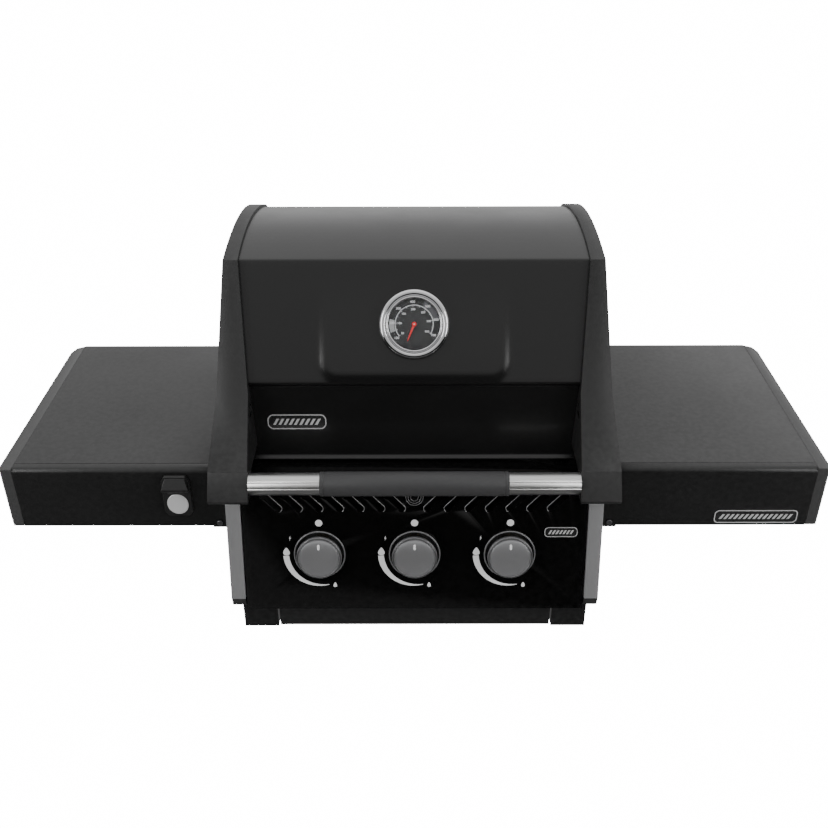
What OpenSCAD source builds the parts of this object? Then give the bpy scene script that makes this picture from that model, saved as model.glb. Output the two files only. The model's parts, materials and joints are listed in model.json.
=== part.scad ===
// Table-top gas barbecue grill head: cook box with three burners, hinged roll-top lid,
// folding side shelves, push-and-turn valve knobs and a pull-out grease tray.
// Millimetres. X to the right, Y to the back, Z up. The origin is the middle of the base's underside.

/* [Base and cook box] */
// Half the width of the cook box, outside
box_half_w = 262; // [240:1:330]
// How far the base stands out beside the cook box
base_lip = 8.5; // [6:0.5:12]
// Half the depth of the base
base_half_d = 253.5; // [252:0.5:300]
// Height of the base
base_h = 66; // [56:1:80]
// Thickness of the base's steel
base_wall = 2; // [1.5:0.5:3]
// Width of the base's bottom flanges
base_flange = 44; // [35:1:50]
// Front of the cook box, outside
box_front = -148; // [-160:1:-142]
// Back of the cook box, outside
box_back = 252; // [240:1:252]
// Wall of the cook box
box_wall = 4; // [3:0.5:6]
// Height of the cook box's side walls
box_rim_z = 270; // [262:1:271]
// Height of the cook box's front and back walls
box_front_z = 244; // [238:1:246]

/* [Lid] */
// Radius of the lid's top curve
lid_top_r = 561; // [545:1:580]
// Radius of the curve from the top into the back
lid_back_r = 67; // [60:1:80]
// Lowest edge of the end castings
lid_rim_z = 275; // [274:1:280]
// How far the lid's upper crease stands out beside the cook box
lid_overhang = 22.5; // [20:0.5:30]
// Outward lean of the end castings, degrees
cap_flare = 4; // [0:0.5:5]
// Width of the end castings' front and top face
cap_face_w = 25; // [20:1:40]
// Wall of the end castings
cap_wall = 4; // [3:0.5:5]
// How far the front sheet lies behind the end castings
front_recess = 8; // [6:0.5:9]
// Thickness of the lid's sheet
lid_sheet = 2; // [1.2:0.2:3]
// Height of the hinge axis
hinge_z = 285; // [283:1:290]
// Distance from the lid's back to the hinge axis
hinge_inset = 21.9; // [20:0.1:24]
// Radius of the hinge pins
hinge_pin_r = 4; // [3:0.5:5]

/* [Handle] */
// Radius of the handle's steel tube
handle_r = 16.5; // [12:0.5:18]
// Wall of the handle's tube
handle_wall = 1.5; // [1:0.25:3]
// Half the length of the soft grip
grip_half_l = 138.5; // [80:0.5:180]
// Wall of the soft grip
grip_wall = 1.7; // [1:0.1:3]

/* [Temperature gauge] */
// Radius of the gauge's flange
gauge_r = 52.5; // [46:0.5:60]
// Radius of the gauge's dial
dial_r = 38.5; // [30:0.5:42]
// Depth of the gauge in front of the lid's sheet
gauge_proud = 14; // [12:1:18]
// Length of the gauge's probe behind the sheet
probe_l = 55; // [40:1:80]

/* [Control panel] */
// How far the panel ends inside the cook box's side
panel_inset = 1.5; // [1:0.5:6]
// Thickness of the panel's sheet
panel_t = 2; // [1.2:0.2:3]
// Lean of the panel from upright, degrees
panel_lean = 12.6; // [10:0.2:15]
// Lowest edge of the panel
panel_bottom_z = 50; // [48:1:54]
// Top of the panel's flat face
panel_face_z = 240; // [234:1:242]
// Width of the end pillars
pillar_w = 22.5; // [16:0.5:26]
// Gap between panel and pillar
pillar_gap = 2; // [1:0.5:3]
// Least distance from a louvre slot to the panel's end
slot_margin = 8; // [4:1:40]
// Distance between two slots
slot_pitch = 31; // [28:0.5:34]
// Width of a slot
slot_w = 12; // [8:1:14]

/* [Knobs and gas train] */
// Distance between two knobs
knob_pitch = 145; // [125:1:155]
// Height of the knobs' middle
knob_z = 142; // [136:1:148]
// Radius of the knob
knob_r = 34.5; // [28:0.5:38]
// Height of the knob in front of the panel
knob_h = 19; // [17:1:30]
// Width of the ring round the knob
bezel_w = 5; // [4:0.5:8]
// Travel of the knob when pushed
knob_push = 4; // [3:0.5:5]
// Radius of the valve stem
stem_r = 4; // [3:0.5:5]
// Radial running clearance of stems, collars and pins
run_gap = 0.05; // [0.02:0.01:0.1]
// Radius of the gas manifold
manifold_r = 11; // [9:0.5:13]
// Radius of the gas inlet's thread, 5/8 inch flare
inlet_r = 7.94; // [6:0.01:9]
// Radius of the burner tubes
burner_r = 13; // [10:0.5:15]

/* [Cooking surfaces] */
// Top of the cooking grids
grid_z = 234; // [230:1:236]
// Height of the grids' bars
grid_bar_h = 10; // [8:1:11]
// Width of the grids' bars
grid_bar_w = 8; // [5:0.5:9]
// Number of bars in each grid
grid_bars = 13; // [8:1:14]
// Width of a flame plate
plate_w = 96; // [80:1:110]
// Height of the warming rack
rack_z = 330; // [310:1:350]
// Thickness of the warming rack's wires
rack_wire = 5; // [4:0.5:6]

/* [Side shelves] */
// Distance from the cook box to the shelf's inner end
shelf_gap = 28; // [26:0.5:40]
// Length of the shelf
shelf_l = 335; // [240:1:420]
// Front of the shelf
shelf_front = -206.5; // [-212:0.5:-205]
// Depth of the shelf
shelf_d = 400; // [300:1:410]
// Top of the shelf
shelf_top_z = 271; // [262:0.5:272]
// Height of the shelf's front
shelf_h = 106; // [90:1:110]
// Thickness of the shelf's sheets
shelf_t = 1.6; // [1.2:0.1:2.5]
// Radius of the shelf front's upper edge
shelf_edge_r = 8; // [5:0.5:12]
// Width of the shelf's end trim
shelf_trim_w = 20; // [14:1:30]
// Distance from the shelf's inner end to the fold pivot
pivot_in = 11; // [10:0.5:13]
// Height of the fold pivot above the shelf's lower edge
pivot_up = 7; // [6:0.5:9]
// Radius of the fold pivot's bolt
pivot_r = 2.5; // [2:0.25:3.5]
// Radius of the fold pivot's head
pivot_head_r = 4.75; // [4:0.25:6]

/* [Grease tray] */
// Half the width of the tray's front
tray_front_half_w = 214; // [180:1:218]
// Half the width of the tray
tray_half_w = 170; // [130:1:176]
// Height of the tray's wall
tray_h = 26; // [20:1:32]
// Length of the tray
tray_l = 400; // [300:1:440]
// Height of the tray's front
tray_front_h = 44; // [38:1:46]

/* [Hidden] */
$fn = 48;
eps = 0.01;
cut = 50;
SIDES = [-1, 1];

// Widths that follow the cook box.
base_half_w = box_half_w + base_lip;
lid_half_w = box_half_w + lid_overhang;
panel_half_w = box_half_w - panel_inset;

// The lid's outline, seen from the side as [Y, Z]: crease, top curve, back curve, rim.
top_c = [58.34, -5.89];
crease_a = 101.7;
back_a = 70.5;
back_c = top_c + (lid_top_r - lid_back_r) * [cos(back_a), sin(back_a)];
crease = top_c + lid_top_r * [cos(crease_a), sin(crease_a)];
front_lean = 26.9;
front_dir = [-sin(front_lean), -cos(front_lean)];
front_out = [-cos(front_lean), sin(front_lean)];
knee = crease + 200 * front_dir;
chin_lean = 51;
chin = knee + 121 * [-sin(chin_lean), -cos(chin_lean)];
rear_y = back_c[0] + lid_back_r;
rim_r = 15;

// The sheet between the end castings.
sheet_top_drop = 4;
panel_edge_z = 375;
apron_lip = [-6, -2];
sheet_start = crease - front_recess * front_out;
sheet_r = lid_top_r - sheet_top_drop;
sheet_run = (sheet_start - top_c) * front_dir;
sheet_rise = sheet_run + sqrt(sheet_run * sheet_run + sheet_r * sheet_r - norm(sheet_start - top_c) ^ 2);
sheet_crease = sheet_start - sheet_rise * front_dir;
sheet_crease_a = atan2(sheet_crease[1] - top_c[1], sheet_crease[0] - top_c[0]);
sheet_knee = sheet_start + (sheet_start[1] - panel_edge_z) / cos(front_lean) * front_dir;
apron_top = sheet_knee + [5, -6];
apron_foot = apron_top + [-20, -113];
sheet_half_w = lid_half_w - cap_wall - 1;
sheet_rim_z = lid_rim_z + 7;
hinge_y = rear_y - hinge_inset;
hinge_x = box_half_w + 10;
lid_reach = lid_half_w + 50;

// The handle, just in front of the lid's chin.
grip_r = handle_r + grip_wall;
handle_c = [chin[0] - 1.5, chin[1] - handle_r - 3.4];
handle_half_l = box_half_w - 19;
block_out_w = box_half_w + 40;

// The gauge sits square on the sheet's front.
gauge_z = 455;
gauge_foot = sheet_start + (sheet_start[1] - gauge_z) / cos(front_lean) * front_dir;
spindle_r = 1;
needle_gap = 0.05;
probe_r = 3;

// The panel's face, as a line in [Y, Z], and what sits on it.
panel_foot_y = -268;
function panel_y(z) = panel_foot_y + (z - panel_bottom_z) * tan(panel_lean);
knob_x = [-knob_pitch, 0, knob_pitch];
bezel_r = knob_r + bezel_w;
stem_hole_r = 10;
collar_r = 7;
collar_top = -2;
collar_low = -10;
neck_r = 10;
valve_top = -15;
valve_low = -47;
valve_r = 13;
stem_low = -33;
stem_top = knob_h - 4;
bezel_h = 2.8;
knob_low = bezel_h + knob_push + 0.2;
manifold_c = [-219, 108];
manifold_boss_z = 121;
inlet_x = panel_half_w - 53.5;
inlet_bottom_z = 70;
burner_z = 136.5;
burner_front = -192;
burner_back = 225;
vent_r = 13;
pillar_back = -212;
panel_lap = 8;
bolt_r = 3;
bracket_z = [160, 195];
slot_first_x = 19.5;
slot_low_z = 216;
slot_top_z = 236;
slot_rise = (slot_top_z - slot_low_z) / cos(panel_lean);
slot_count = 1 + floor((panel_half_w - slot_margin - slot_rise - slot_w / 2 - slot_first_x) / slot_pitch);
vent_z = 234;
panel_return_d = 38;
panel_shelf_z = box_front_z + 2;

// Cook box: ledges for grids and plates, and the grease opening.
ledge_d = 12;
grid_ledge_z = grid_z - grid_bar_h;
plate_ledge_z = 160;
burner_hole_r = burner_r + 2;
grease_half_w = 150;
cavity_front = box_front + box_wall;
cavity_back = box_back - box_wall;
rim_flange_w = 21;
rear_vent_pitch = (box_half_w - 22) / 3;
grid_gap = 2;

// Shelves.
shelf_in = box_half_w + shelf_gap;
shelf_out = shelf_in + shelf_l;
pivot_x = shelf_in + pivot_in;
shelf_low_z = shelf_top_z - shelf_h;
pivot_z = shelf_low_z + pivot_up;
shelf_back = shelf_front + shelf_d;
trim_x = shelf_out - shelf_trim_w;
seam_y = shelf_front + 17;
ear_t = 4;
ear_gap = 1.4;
ear_reach = 12;
return_x = pivot_x + 29;
return_w = 12;

bracket_bolt_y = [-120, 10, 140];
bracket_bolt_z = 178;

// Base.
hole_x = base_half_w - 20.5;
hole_y = 220;
hole_r = 4.5;
post_in = tray_front_half_w + 2.5;
post_web_d = 20;
tray_z = 6;
tray_t = 1.5;

// A list without its first entry.
function rest(p) = [for (i = [1:len(p) - 1]) p[i]];

// Points of an arc about c, from angle a to angle b.
function arc(c, r, a, b, n = 12) =
    [for (i = [0:n]) let (t = a + (b - a) * i / n) c + r * [cos(t), sin(t)]];

function unit(v) = v / norm(v);

function left_of(v) = [-v[1], v[0]];

// Direction in which point i of an open path moves when the path is set off to its left by 1.
function mitre(p, i) = let (
    a = left_of(unit(p[max(i, 1)] - p[max(i, 1) - 1])),
    b = left_of(unit(p[min(i, len(p) - 2) + 1] - p[min(i, len(p) - 2)]))
) (a + b) / (1 + a * b);

function set_off(p, d) = [for (i = [0:len(p) - 1]) p[i] + d * mitre(p, i)];

// Closed outline of a bent sheet: the path and the same path set off by its thickness.
function bent(p, t) = let (q = set_off(p, t)) concat(p, [for (i = [len(q) - 1:-1:0]) q[i]]);

// A profile drawn in [Y, Z], drawn out along X.
module along_x(x0, x1) {
    translate([x0, 0, 0]) rotate([90, 0, 90]) linear_extrude(x1 - x0) children();
}

// A profile drawn in [X, Z], drawn out along Y.
module along_y(y0, y1) {
    translate([0, y1, 0]) rotate([90, 0, 0]) linear_extrude(y1 - y0) children();
}

// A box from its lowest to its highest corner.
module span(low, high) {
    translate(low) cube(high - low);
}

// The right-hand piece, or its mirror image for side -1.
module on_side(side) {
    mirror([side < 0 ? 1 : 0, 0, 0]) children();
}

// A place on the panel's face; children stand along the panel's outward normal.
module on_panel(x, z) {
    translate([x, panel_y(z), z]) rotate([90 - panel_lean, 0, 0]) children();
}

// A place on the lid's front sheet; children stand along the sheet's outward normal.
module on_front(x) {
    translate([x, gauge_foot[0], gauge_foot[1]]) rotate([90 - front_lean, 0, 0]) children();
}

module ring(r_out, r_in, z0, z1) {
    translate([0, 0, z0]) difference() {
        cylinder(r = r_out, h = z1 - z0);
        translate([0, 0, -eps]) cylinder(r = r_in, h = z1 - z0 + 2 * eps);
    }
}

// A rod between two points that differ along one axis only.
module rod_x(y, z, r, x0, x1) {
    translate([x0, y, z]) rotate([0, 90, 0]) cylinder(r = r, h = x1 - x0);
}

module rod_y(x, z, r, y0, y1) {
    translate([x, y0, z]) rotate([-90, 0, 0]) cylinder(r = r, h = y1 - y0);
}

// ---- Base and cook box ----

module base_frame() {
    color([0.1, 0.1, 0.1]) difference() {
        union() {
            for (s = SIDES) on_side(s) {
                span([base_half_w - base_wall, -base_half_d, 0], [base_half_w, base_half_d, base_h]);
                span([base_half_w - base_flange, -base_half_d, 0], [base_half_w, base_half_d, base_wall]);
                span([box_half_w - 2 * base_wall - 18, box_front, base_h - base_wall],
                    [base_half_w, base_half_d, base_h]);
                span([post_in, -base_half_d, 0], [base_half_w, base_wall - base_half_d, base_h - 4]);
                span([post_in, -base_half_d, 0], [post_in + base_wall, post_web_d - base_half_d, base_h - 4]);
                tray_rail();
            }
            span([-base_half_w, base_half_d - base_wall, 0], [base_half_w, base_half_d, base_h]);
            for (y = [-172, 0, 215])
                span([-base_half_w, y - 20, 0], [base_half_w, y + 20, base_wall]);
        }
        for (s = SIDES, t = SIDES) translate([s * hole_x, t * hole_y, -1])
            cylinder(r = hole_r, h = 4 + base_wall);
    }
}

module tray_rail() {
    rail_z = tray_z + tray_h - tray_t - 0.3;
    span([tray_half_w + 16, -210, 0], [tray_half_w + 18, 235, rail_z]);
    span([tray_half_w + 2, -210, rail_z - 2], [tray_half_w + 18, 235, rail_z]);
}

module cook_box() {
    color([0.13, 0.13, 0.13]) difference() {
        union() {
            difference() {
                span([-box_half_w, box_front, base_h], [box_half_w, box_back, box_rim_z]);
                span([box_wall - box_half_w, cavity_front, base_h + box_wall],
                    [box_half_w - box_wall, cavity_back, box_rim_z + 1]);
                span([box_wall - box_half_w, box_front - 1, box_front_z],
                    [box_half_w - box_wall, box_back + 1, box_rim_z + 1]);
            }
            for (s = SIDES) on_side(s)
                span([box_half_w - box_wall, box_front, box_rim_z - 4],
                    [box_half_w + rim_flange_w, box_back - 7, box_rim_z]);
            for (z = [plate_ledge_z, grid_ledge_z]) cook_ledges(z);
        }
        span([-2 * box_half_w, box_front - 1, box_front_z],
            [2 * box_half_w, box_front + panel_lap + 1, box_rim_z + 1]);
        span([-grease_half_w, -60, base_h - 1], [grease_half_w, 120, base_h + box_wall + 1]);
        for (x = knob_x) rod_y(x, burner_z, burner_hole_r, box_front - 1, cavity_front + 1);
        for (i = [-2.5:2.5]) translate([i * rear_vent_pitch, 0, 0])
            span([-30, cavity_back - 1, 96], [30, box_back + 1, 104]);
        for (s = SIDES, y = bracket_bolt_y) on_side(s)
            rod_x(y, bracket_bolt_z, bolt_r, box_half_w - box_wall - 1, box_half_w + 1);
    }
}

// Ledges along the front and back walls with their tops at height z.
module cook_ledges(z) {
    span([box_wall - box_half_w, cavity_front, z - 4], [box_half_w - box_wall, cavity_front + ledge_d, z]);
    span([box_wall - box_half_w, cavity_back - ledge_d, z - 4], [box_half_w - box_wall, cavity_back, z]);
}

module hinge_brackets() {
    color([0.2, 0.2, 0.2]) for (s = SIDES) on_side(s) {
        span([hinge_x - 36, box_back, 200], [hinge_x, box_back + 3, 238]);
        difference() {
            along_x(hinge_x - 4, hinge_x) union() {
                translate([hinge_y, hinge_z]) circle(r = 9);
                polygon([
                    [box_back, 200], [box_back + 3, 200], [box_back + 3, 262],
                    [hinge_y - 4, hinge_z - 8], [hinge_y - 6, hinge_z + 6.7],
                    [box_back - 4, 276], [box_back - 4, 250]
                ]);
            }
            rod_x(hinge_y, hinge_z, hinge_pin_r, hinge_x - 5, hinge_x + 1);
        }
    }
}

module hinge_pins() {
    color([0.7, 0.7, 0.7]) for (s = SIDES) on_side(s) {
        rod_x(hinge_y, hinge_z, hinge_pin_r, hinge_x - 4, hinge_x + 18);
        rod_x(hinge_y, hinge_z, hinge_pin_r + 2.5, hinge_x - 7, hinge_x - 4);
    }
}

// ---- Control panel ----

module control_panel() {
    path = [
        [panel_foot_y + 12, panel_bottom_z], [panel_foot_y, panel_bottom_z],
        [panel_y(panel_face_z), panel_face_z], [panel_y(panel_face_z) + 7, panel_shelf_z],
        [box_front + panel_lap, panel_shelf_z]
    ];
    low = base_h + 2;
    color([0.02, 0.02, 0.02]) difference() {
        union() {
            along_x(-panel_half_w, panel_half_w) polygon(bent(path, -panel_t));
            for (s = SIDES) on_side(s) along_x(panel_half_w - panel_t, panel_half_w) polygon([
                [panel_y(low) + 1, low], [panel_y(panel_face_z) + 1, panel_face_z],
                [panel_y(panel_face_z) + panel_return_d, panel_face_z], [panel_y(low) + panel_return_d, low]
            ]);
        }
        for (x = knob_x) on_panel(x, knob_z) translate([0, 0, -cut]) cylinder(r = stem_hole_r, h = 2 * cut);
        for (s = SIDES, i = [0:slot_count - 1]) on_side(s)
            on_panel(slot_first_x + i * slot_pitch, slot_low_z) panel_slot();
        on_panel(0, vent_z) panel_vent();
    }
}

// One louvre slot, leaning outwards from its lower end.
module panel_slot() {
    rise = slot_rise;
    translate([0, 0, -panel_t - 1]) linear_extrude(panel_t + 2) union() {
        polygon([[-slot_w / 2, 0], [slot_w / 2, 0], [slot_w / 2 + rise, rise], [rise - slot_w / 2, rise]]);
        circle(r = slot_w / 2);
        translate([rise, rise]) circle(r = slot_w / 2);
    }
}

// A round vent made of radial slits.
module panel_vent() {
    for (a = [0:45:315]) rotate([0, 0, a])
        translate([0.45 * vent_r, -1.2, -panel_t - 1]) cube([0.55 * vent_r, 2.4, panel_t + 2]);
}

module panel_pillar(side) {
    x0 = panel_half_w + pillar_gap;
    foot_z = panel_bottom_z + 16;
    top_z = 221.5;
    front = panel_foot_y + 3;
    color([0.45, 0.45, 0.46]) on_side(side) difference() {
        along_x(x0, x0 + pillar_w) polygon([
            [panel_y(foot_z), foot_z], [panel_y(top_z), top_z], [panel_y(top_z) + 10, top_z + 8],
            [pillar_back, top_z + 8], [pillar_back, foot_z]
        ]);
        along_x(x0 + 2.5, x0 + pillar_w - 3) polygon([
            [panel_y(foot_z) + 4, foot_z - 1], [panel_y(top_z) + 4, top_z], [panel_y(top_z) + 12, top_z + 5],
            [pillar_back + 1, top_z + 5], [pillar_back + 1, foot_z - 1]
        ]);
    }
}

module pillar_feet() {
    x0 = panel_half_w + pillar_gap;
    foot_z = panel_bottom_z + 16;
    color([0.08, 0.08, 0.08]) for (s = SIDES) on_side(s) along_x(x0, x0 + pillar_w) polygon([
        [panel_y(foot_z), foot_z], [panel_foot_y + 8, panel_bottom_z],
        [-base_half_d, panel_bottom_z], [-base_half_d, foot_z]
    ]);
}

module panel_badge() {
    color([0.75, 0.75, 0.75]) on_panel(panel_half_w - 38.5, 178)
        linear_extrude(1.5) square([50, 16], center = true);
}

module knob_bezels() {
    color([0.12, 0.12, 0.12]) for (x = knob_x) on_panel(x, knob_z) difference() {
        union() {
            ring(bezel_r, knob_r + 1.5, 0, bezel_h);
            cylinder(r = knob_r + 2, h = 1.5);
        }
        translate([0, 0, -1]) cylinder(r = stem_hole_r, h = 4);
    }
}

// ---- Gas train ----

module gas_valves() {
    color([0.7, 0.6, 0.35]) for (x = knob_x) {
        on_panel(x, knob_z) difference() {
            union() {
                translate([0, 0, valve_low]) cylinder(r = valve_r, h = valve_top - valve_low);
                ring(neck_r, collar_r + run_gap, valve_top - eps, collar_low + 3);
            }
            translate([0, 0, valve_low + 9]) cylinder(r = stem_r + run_gap, h = valve_top - valve_low);
        }
        difference() {
            union() {
                rod_y(x, burner_z, 5, manifold_c[0], burner_front + 4);
                translate([x, manifold_c[0], manifold_boss_z])
                    cylinder(r = 6, h = burner_z - manifold_boss_z);
            }
            on_panel(x, knob_z) translate([0, 0, valve_low + eps])
                cylinder(r = valve_r - eps, h = valve_top - valve_low);
        }
    }
}

module manifold() {
    y = manifold_c[0];
    z = manifold_c[1];
    color([0.35, 0.35, 0.36]) difference() {
        union() {
            rod_x(y, z, manifold_r, -knob_pitch - 28, inlet_x + manifold_r + 4);
            for (x = knob_x) translate([x, y, z]) cylinder(r = 8, h = manifold_boss_z - z);
            for (x = [-75, 75]) span([x - 8, y, z - 3], [x + 8, box_front, z + 3]);
            translate([inlet_x, y, inlet_bottom_z]) cylinder(r = inlet_r, h = z - inlet_bottom_z);
            translate([inlet_x, y, inlet_bottom_z + 18]) cylinder(r = manifold_r, h = 10, $fn = 6);
        }
        rod_x(y, z, manifold_r - 3, -knob_pitch - 24, inlet_x + manifold_r);
        translate([inlet_x, y, inlet_bottom_z - 1]) cylinder(r = 4.5, h = z - inlet_bottom_z);
    }
}

module burner(x) {
    color([0.55, 0.55, 0.56]) difference() {
        union() {
            rod_y(x, burner_z, burner_r, burner_front, burner_back);
            rod_y(x, burner_z, burner_hole_r + 3, cavity_front, cavity_front + 2);
            rod_y(x, burner_z, 4, burner_back - 1, cavity_back);
        }
        rod_y(x, burner_z, burner_r - 2, burner_front - 1, burner_back - 2);
        for (y = [-120:30:200]) rod_x(y, burner_z + 4, 1.5, x - burner_r - 1, x + burner_r + 1);
    }
}

module igniters() {
    color([0.85, 0.85, 0.82]) for (x = knob_x) {
        rod_y(x + burner_r + 9, burner_z + 10, 3.5, cavity_front, cavity_front + 34);
        rod_y(x + burner_r + 9, burner_z + 10, 1, cavity_front + 34, cavity_front + 46);
    }
}

// ---- Cooking surfaces ----

module flame_plates() {
    half = plate_w / 2;
    path = [[-half, plate_ledge_z], [-half, plate_ledge_z + 4], [0, plate_ledge_z + 32],
        [half, plate_ledge_z + 4], [half, plate_ledge_z]];
    color([0.5, 0.5, 0.5]) for (x = knob_x) translate([x, 0, 0])
        along_y(cavity_front + 1, cavity_back - 1) polygon(bent(path, -2));
}

module cooking_grid(side) {
    outer = box_half_w - box_wall - grid_gap;
    pitch = (outer - grid_gap / 2 - grid_bar_w) / (grid_bars - 1);
    low = grid_z - grid_bar_h;
    color([0.09, 0.09, 0.09]) on_side(side) {
        for (i = [0:grid_bars - 1]) translate([grid_gap / 2 + i * pitch, 0, 0])
            span([0, cavity_front + 1, low], [grid_bar_w, cavity_back - 1, grid_z]);
        for (y = [cavity_front + 1, -30, 105, cavity_back - 1 - grid_bar_w])
            span([grid_gap / 2, y, low], [outer, y + grid_bar_w, grid_z - 3]);
    }
}

module warming_rack() {
    r = rack_wire / 2;
    x = box_half_w;
    y0 = 132;
    y1 = 222;
    color([0.6, 0.6, 0.6]) {
        for (i = [0:6]) rod_x(y0 + (y1 - y0) * i / 6, rack_z, r, -x, x);
        for (t = [-x, -x / 3, x / 3, x]) rod_y(t, rack_z, r, y0, y1);
        for (s = SIDES, y = [y0, y1]) translate([s * x, y, box_rim_z])
            cylinder(r = r, h = rack_z - box_rim_z);
    }
}

// ---- Shelf supports ----

module shelf_bracket(side) {
    outer = pivot_x + ear_reach;
    front_y = shelf_front + shelf_t + ear_gap;
    back_y = shelf_back - shelf_t - ear_gap;
    color([0.15, 0.15, 0.15]) on_side(side) difference() {
        union() {
            span([box_half_w, front_y, bracket_z[0]], [box_half_w + 3, back_y, bracket_z[1]]);
            for (y = [front_y, back_y - ear_t])
                span([box_half_w, y, bracket_z[0]], [outer, y + ear_t, bracket_z[1]]);
        }
        rod_y(pivot_x, pivot_z, pivot_r, front_y - 1, back_y + 1);
        for (y = bracket_bolt_y) rod_x(y, bracket_bolt_z, bolt_r, box_half_w - 1, box_half_w + 4);
    }
}

module bracket_bolts() {
    color([0.5, 0.5, 0.5]) for (s = SIDES, y = bracket_bolt_y) on_side(s) {
        rod_x(y, bracket_bolt_z, bolt_r, box_half_w - box_wall, box_half_w + 3);
        rod_x(y, bracket_bolt_z, bolt_r + 2, box_half_w + 3, box_half_w + 7);
        rod_x(y, bracket_bolt_z, bolt_r + 2, box_half_w - box_wall - 4, box_half_w - box_wall);
    }
}

module shelf_pivots() {
    front_y = shelf_front + shelf_t + ear_gap + ear_t;
    back_y = shelf_back - shelf_t - ear_gap - ear_t;
    head = 3.2;
    gap = 0.3;
    color([0.35, 0.35, 0.35]) for (s = SIDES) on_side(s) {
        rod_y(pivot_x, pivot_z, pivot_r, shelf_front - gap - 1, front_y);
        rod_y(pivot_x, pivot_z, pivot_head_r, shelf_front - gap - head, shelf_front - gap);
        rod_y(pivot_x, pivot_z, pivot_head_r, front_y, front_y + 4);
        rod_y(pivot_x, pivot_z, pivot_r, back_y, shelf_back + gap + 1);
        rod_y(pivot_x, pivot_z, pivot_head_r, shelf_back + gap, shelf_back + gap + head);
        rod_y(pivot_x, pivot_z, pivot_head_r, back_y - 4, back_y);
    }
}

// ---- Lid ----

// Outer line of the end castings, from the chin over the crease to the back of the rim.
function cap_path() = concat([chin, knee], arc(top_c, lid_top_r, crease_a, back_a, 24),
    rest(arc(back_c, lid_back_r, back_a, 0, 14)), [[rear_y, lid_rim_z + rim_r]]);

// Outer line of the sheet, from its front lip to the back.
function sheet_path() = concat(
    [apron_foot + apron_lip, apron_foot, apron_top, sheet_knee],
    arc(top_c, sheet_r, sheet_crease_a, back_a, 24),
    rest(arc(back_c, lid_back_r - sheet_top_drop, back_a, 0, 14)),
    [[rear_y - sheet_top_drop, sheet_rim_z]]
);

// The outer half-width of the lid, and the inner edge of its end castings, at height z.
function lid_out(z) = lid_half_w + (crease[1] - z) * tan(cap_flare);
function cap_in(z) = lid_half_w - cap_face_w + 2.5 - (crease[1] - z) * tan(cap_flare);

// A slab that leans outwards with the lid's side, between two distances from its outer face.
module leaning_slab(t0, t1) {
    low = 240;
    high = 580;
    along_y(-400, 400) polygon([
        [lid_out(low) - t1, low], [lid_out(low) - t0, low],
        [lid_out(high) - t0, high], [lid_out(high) - t1, high]
    ]);
}

module lid_cap(side) {
    foot = [chin[0] + 27, lid_rim_z];
    rim = [for (p = sheet_path()) if (p[1] > lid_rim_z) p];
    n = len(rim) - 1;
    apron_share = (lid_rim_z - apron_foot[1]) / (apron_top[1] - apron_foot[1]);
    apron_rim = apron_foot + apron_share * (apron_top - apron_foot);
    band = concat(cap_path(), [[rear_y, lid_rim_z], [rim[n][0], lid_rim_z]],
        [for (i = [n:-1:0]) rim[i]], [apron_rim, foot]);
    color([0.2, 0.2, 0.2]) on_side(side) difference() {
        union() {
            intersection() {
                along_x(lid_half_w - 80, lid_reach) polygon(band);
                along_y(-400, 400)
                    polygon([[cap_in(240), 240], [lid_reach, 240], [lid_reach, 580], [cap_in(580), 580]]);
                leaning_slab(0, 150);
            }
            intersection() {
                along_x(lid_half_w - 80, lid_reach)
                    polygon(concat(cap_path(), [[rear_y - rim_r, lid_rim_z], foot]));
                leaning_slab(0, cap_wall - 0.5);
            }
            intersection() {
                rod_x(hinge_y, hinge_z, hinge_pin_r + 5, hinge_x + 2, lid_reach);
                leaning_slab(cap_wall / 2, 60);
            }
        }
        rod_x(hinge_y, hinge_z, hinge_pin_r + run_gap, hinge_x, hinge_x + 20);
        intersection() {
            along_x(cap_in(lid_rim_z) + cap_wall, lid_reach) polygon([
                [chin[0] + 36, lid_rim_z - 1], [apron_foot[0] - 8, lid_rim_z - 1],
                [apron_top[0] - 9, knee[1] - 25], [knee[0] + 4, knee[1] - 16], [chin[0] + 20, chin[1] + 2]
            ]);
            leaning_slab(cap_wall, 100);
        }
    }
}

module lid_sheet() {
    color([0.04, 0.04, 0.04]) difference() {
        along_x(-sheet_half_w, sheet_half_w) polygon(bent(sheet_path(), -lid_sheet));
        on_front(0) translate([0, 0, -cut]) cylinder(r = probe_r + 6, h = 2 * cut);
    }
}

module handle_block(side) {
    foot = [chin[0] + 27, lid_rim_z];
    nose = handle_c + [-handle_r - 7.1, 0.2 - handle_r];
    color([0.22, 0.22, 0.22]) on_side(side) difference() {
        along_x(handle_half_l, block_out_w)
            polygon([chin, nose, nose + [3, -5.5], [foot[0] - 15, nose[1] - 5.5], foot]);
        rod_x(handle_c[0], handle_c[1], bolt_r, handle_half_l - 1, block_out_w + 1);
        rod_x(handle_c[0], handle_c[1], bolt_r + 3, block_out_w - 8, block_out_w + 1);
    }
}

module handle_tube() {
    color([0.78, 0.78, 0.78]) difference() {
        rod_x(handle_c[0], handle_c[1], handle_r, -handle_half_l, handle_half_l);
        rod_x(handle_c[0], handle_c[1], handle_r - handle_wall, -handle_half_l + 6, handle_half_l - 6);
        for (s = SIDES) on_side(s)
            rod_x(handle_c[0], handle_c[1], bolt_r, handle_half_l - 7, handle_half_l + 1);
    }
}

module handle_grip() {
    color([0.27, 0.27, 0.27]) difference() {
        rod_x(handle_c[0], handle_c[1], grip_r, -grip_half_l, grip_half_l);
        rod_x(handle_c[0], handle_c[1], handle_r, -grip_half_l - 1, grip_half_l + 1);
    }
}

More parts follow.
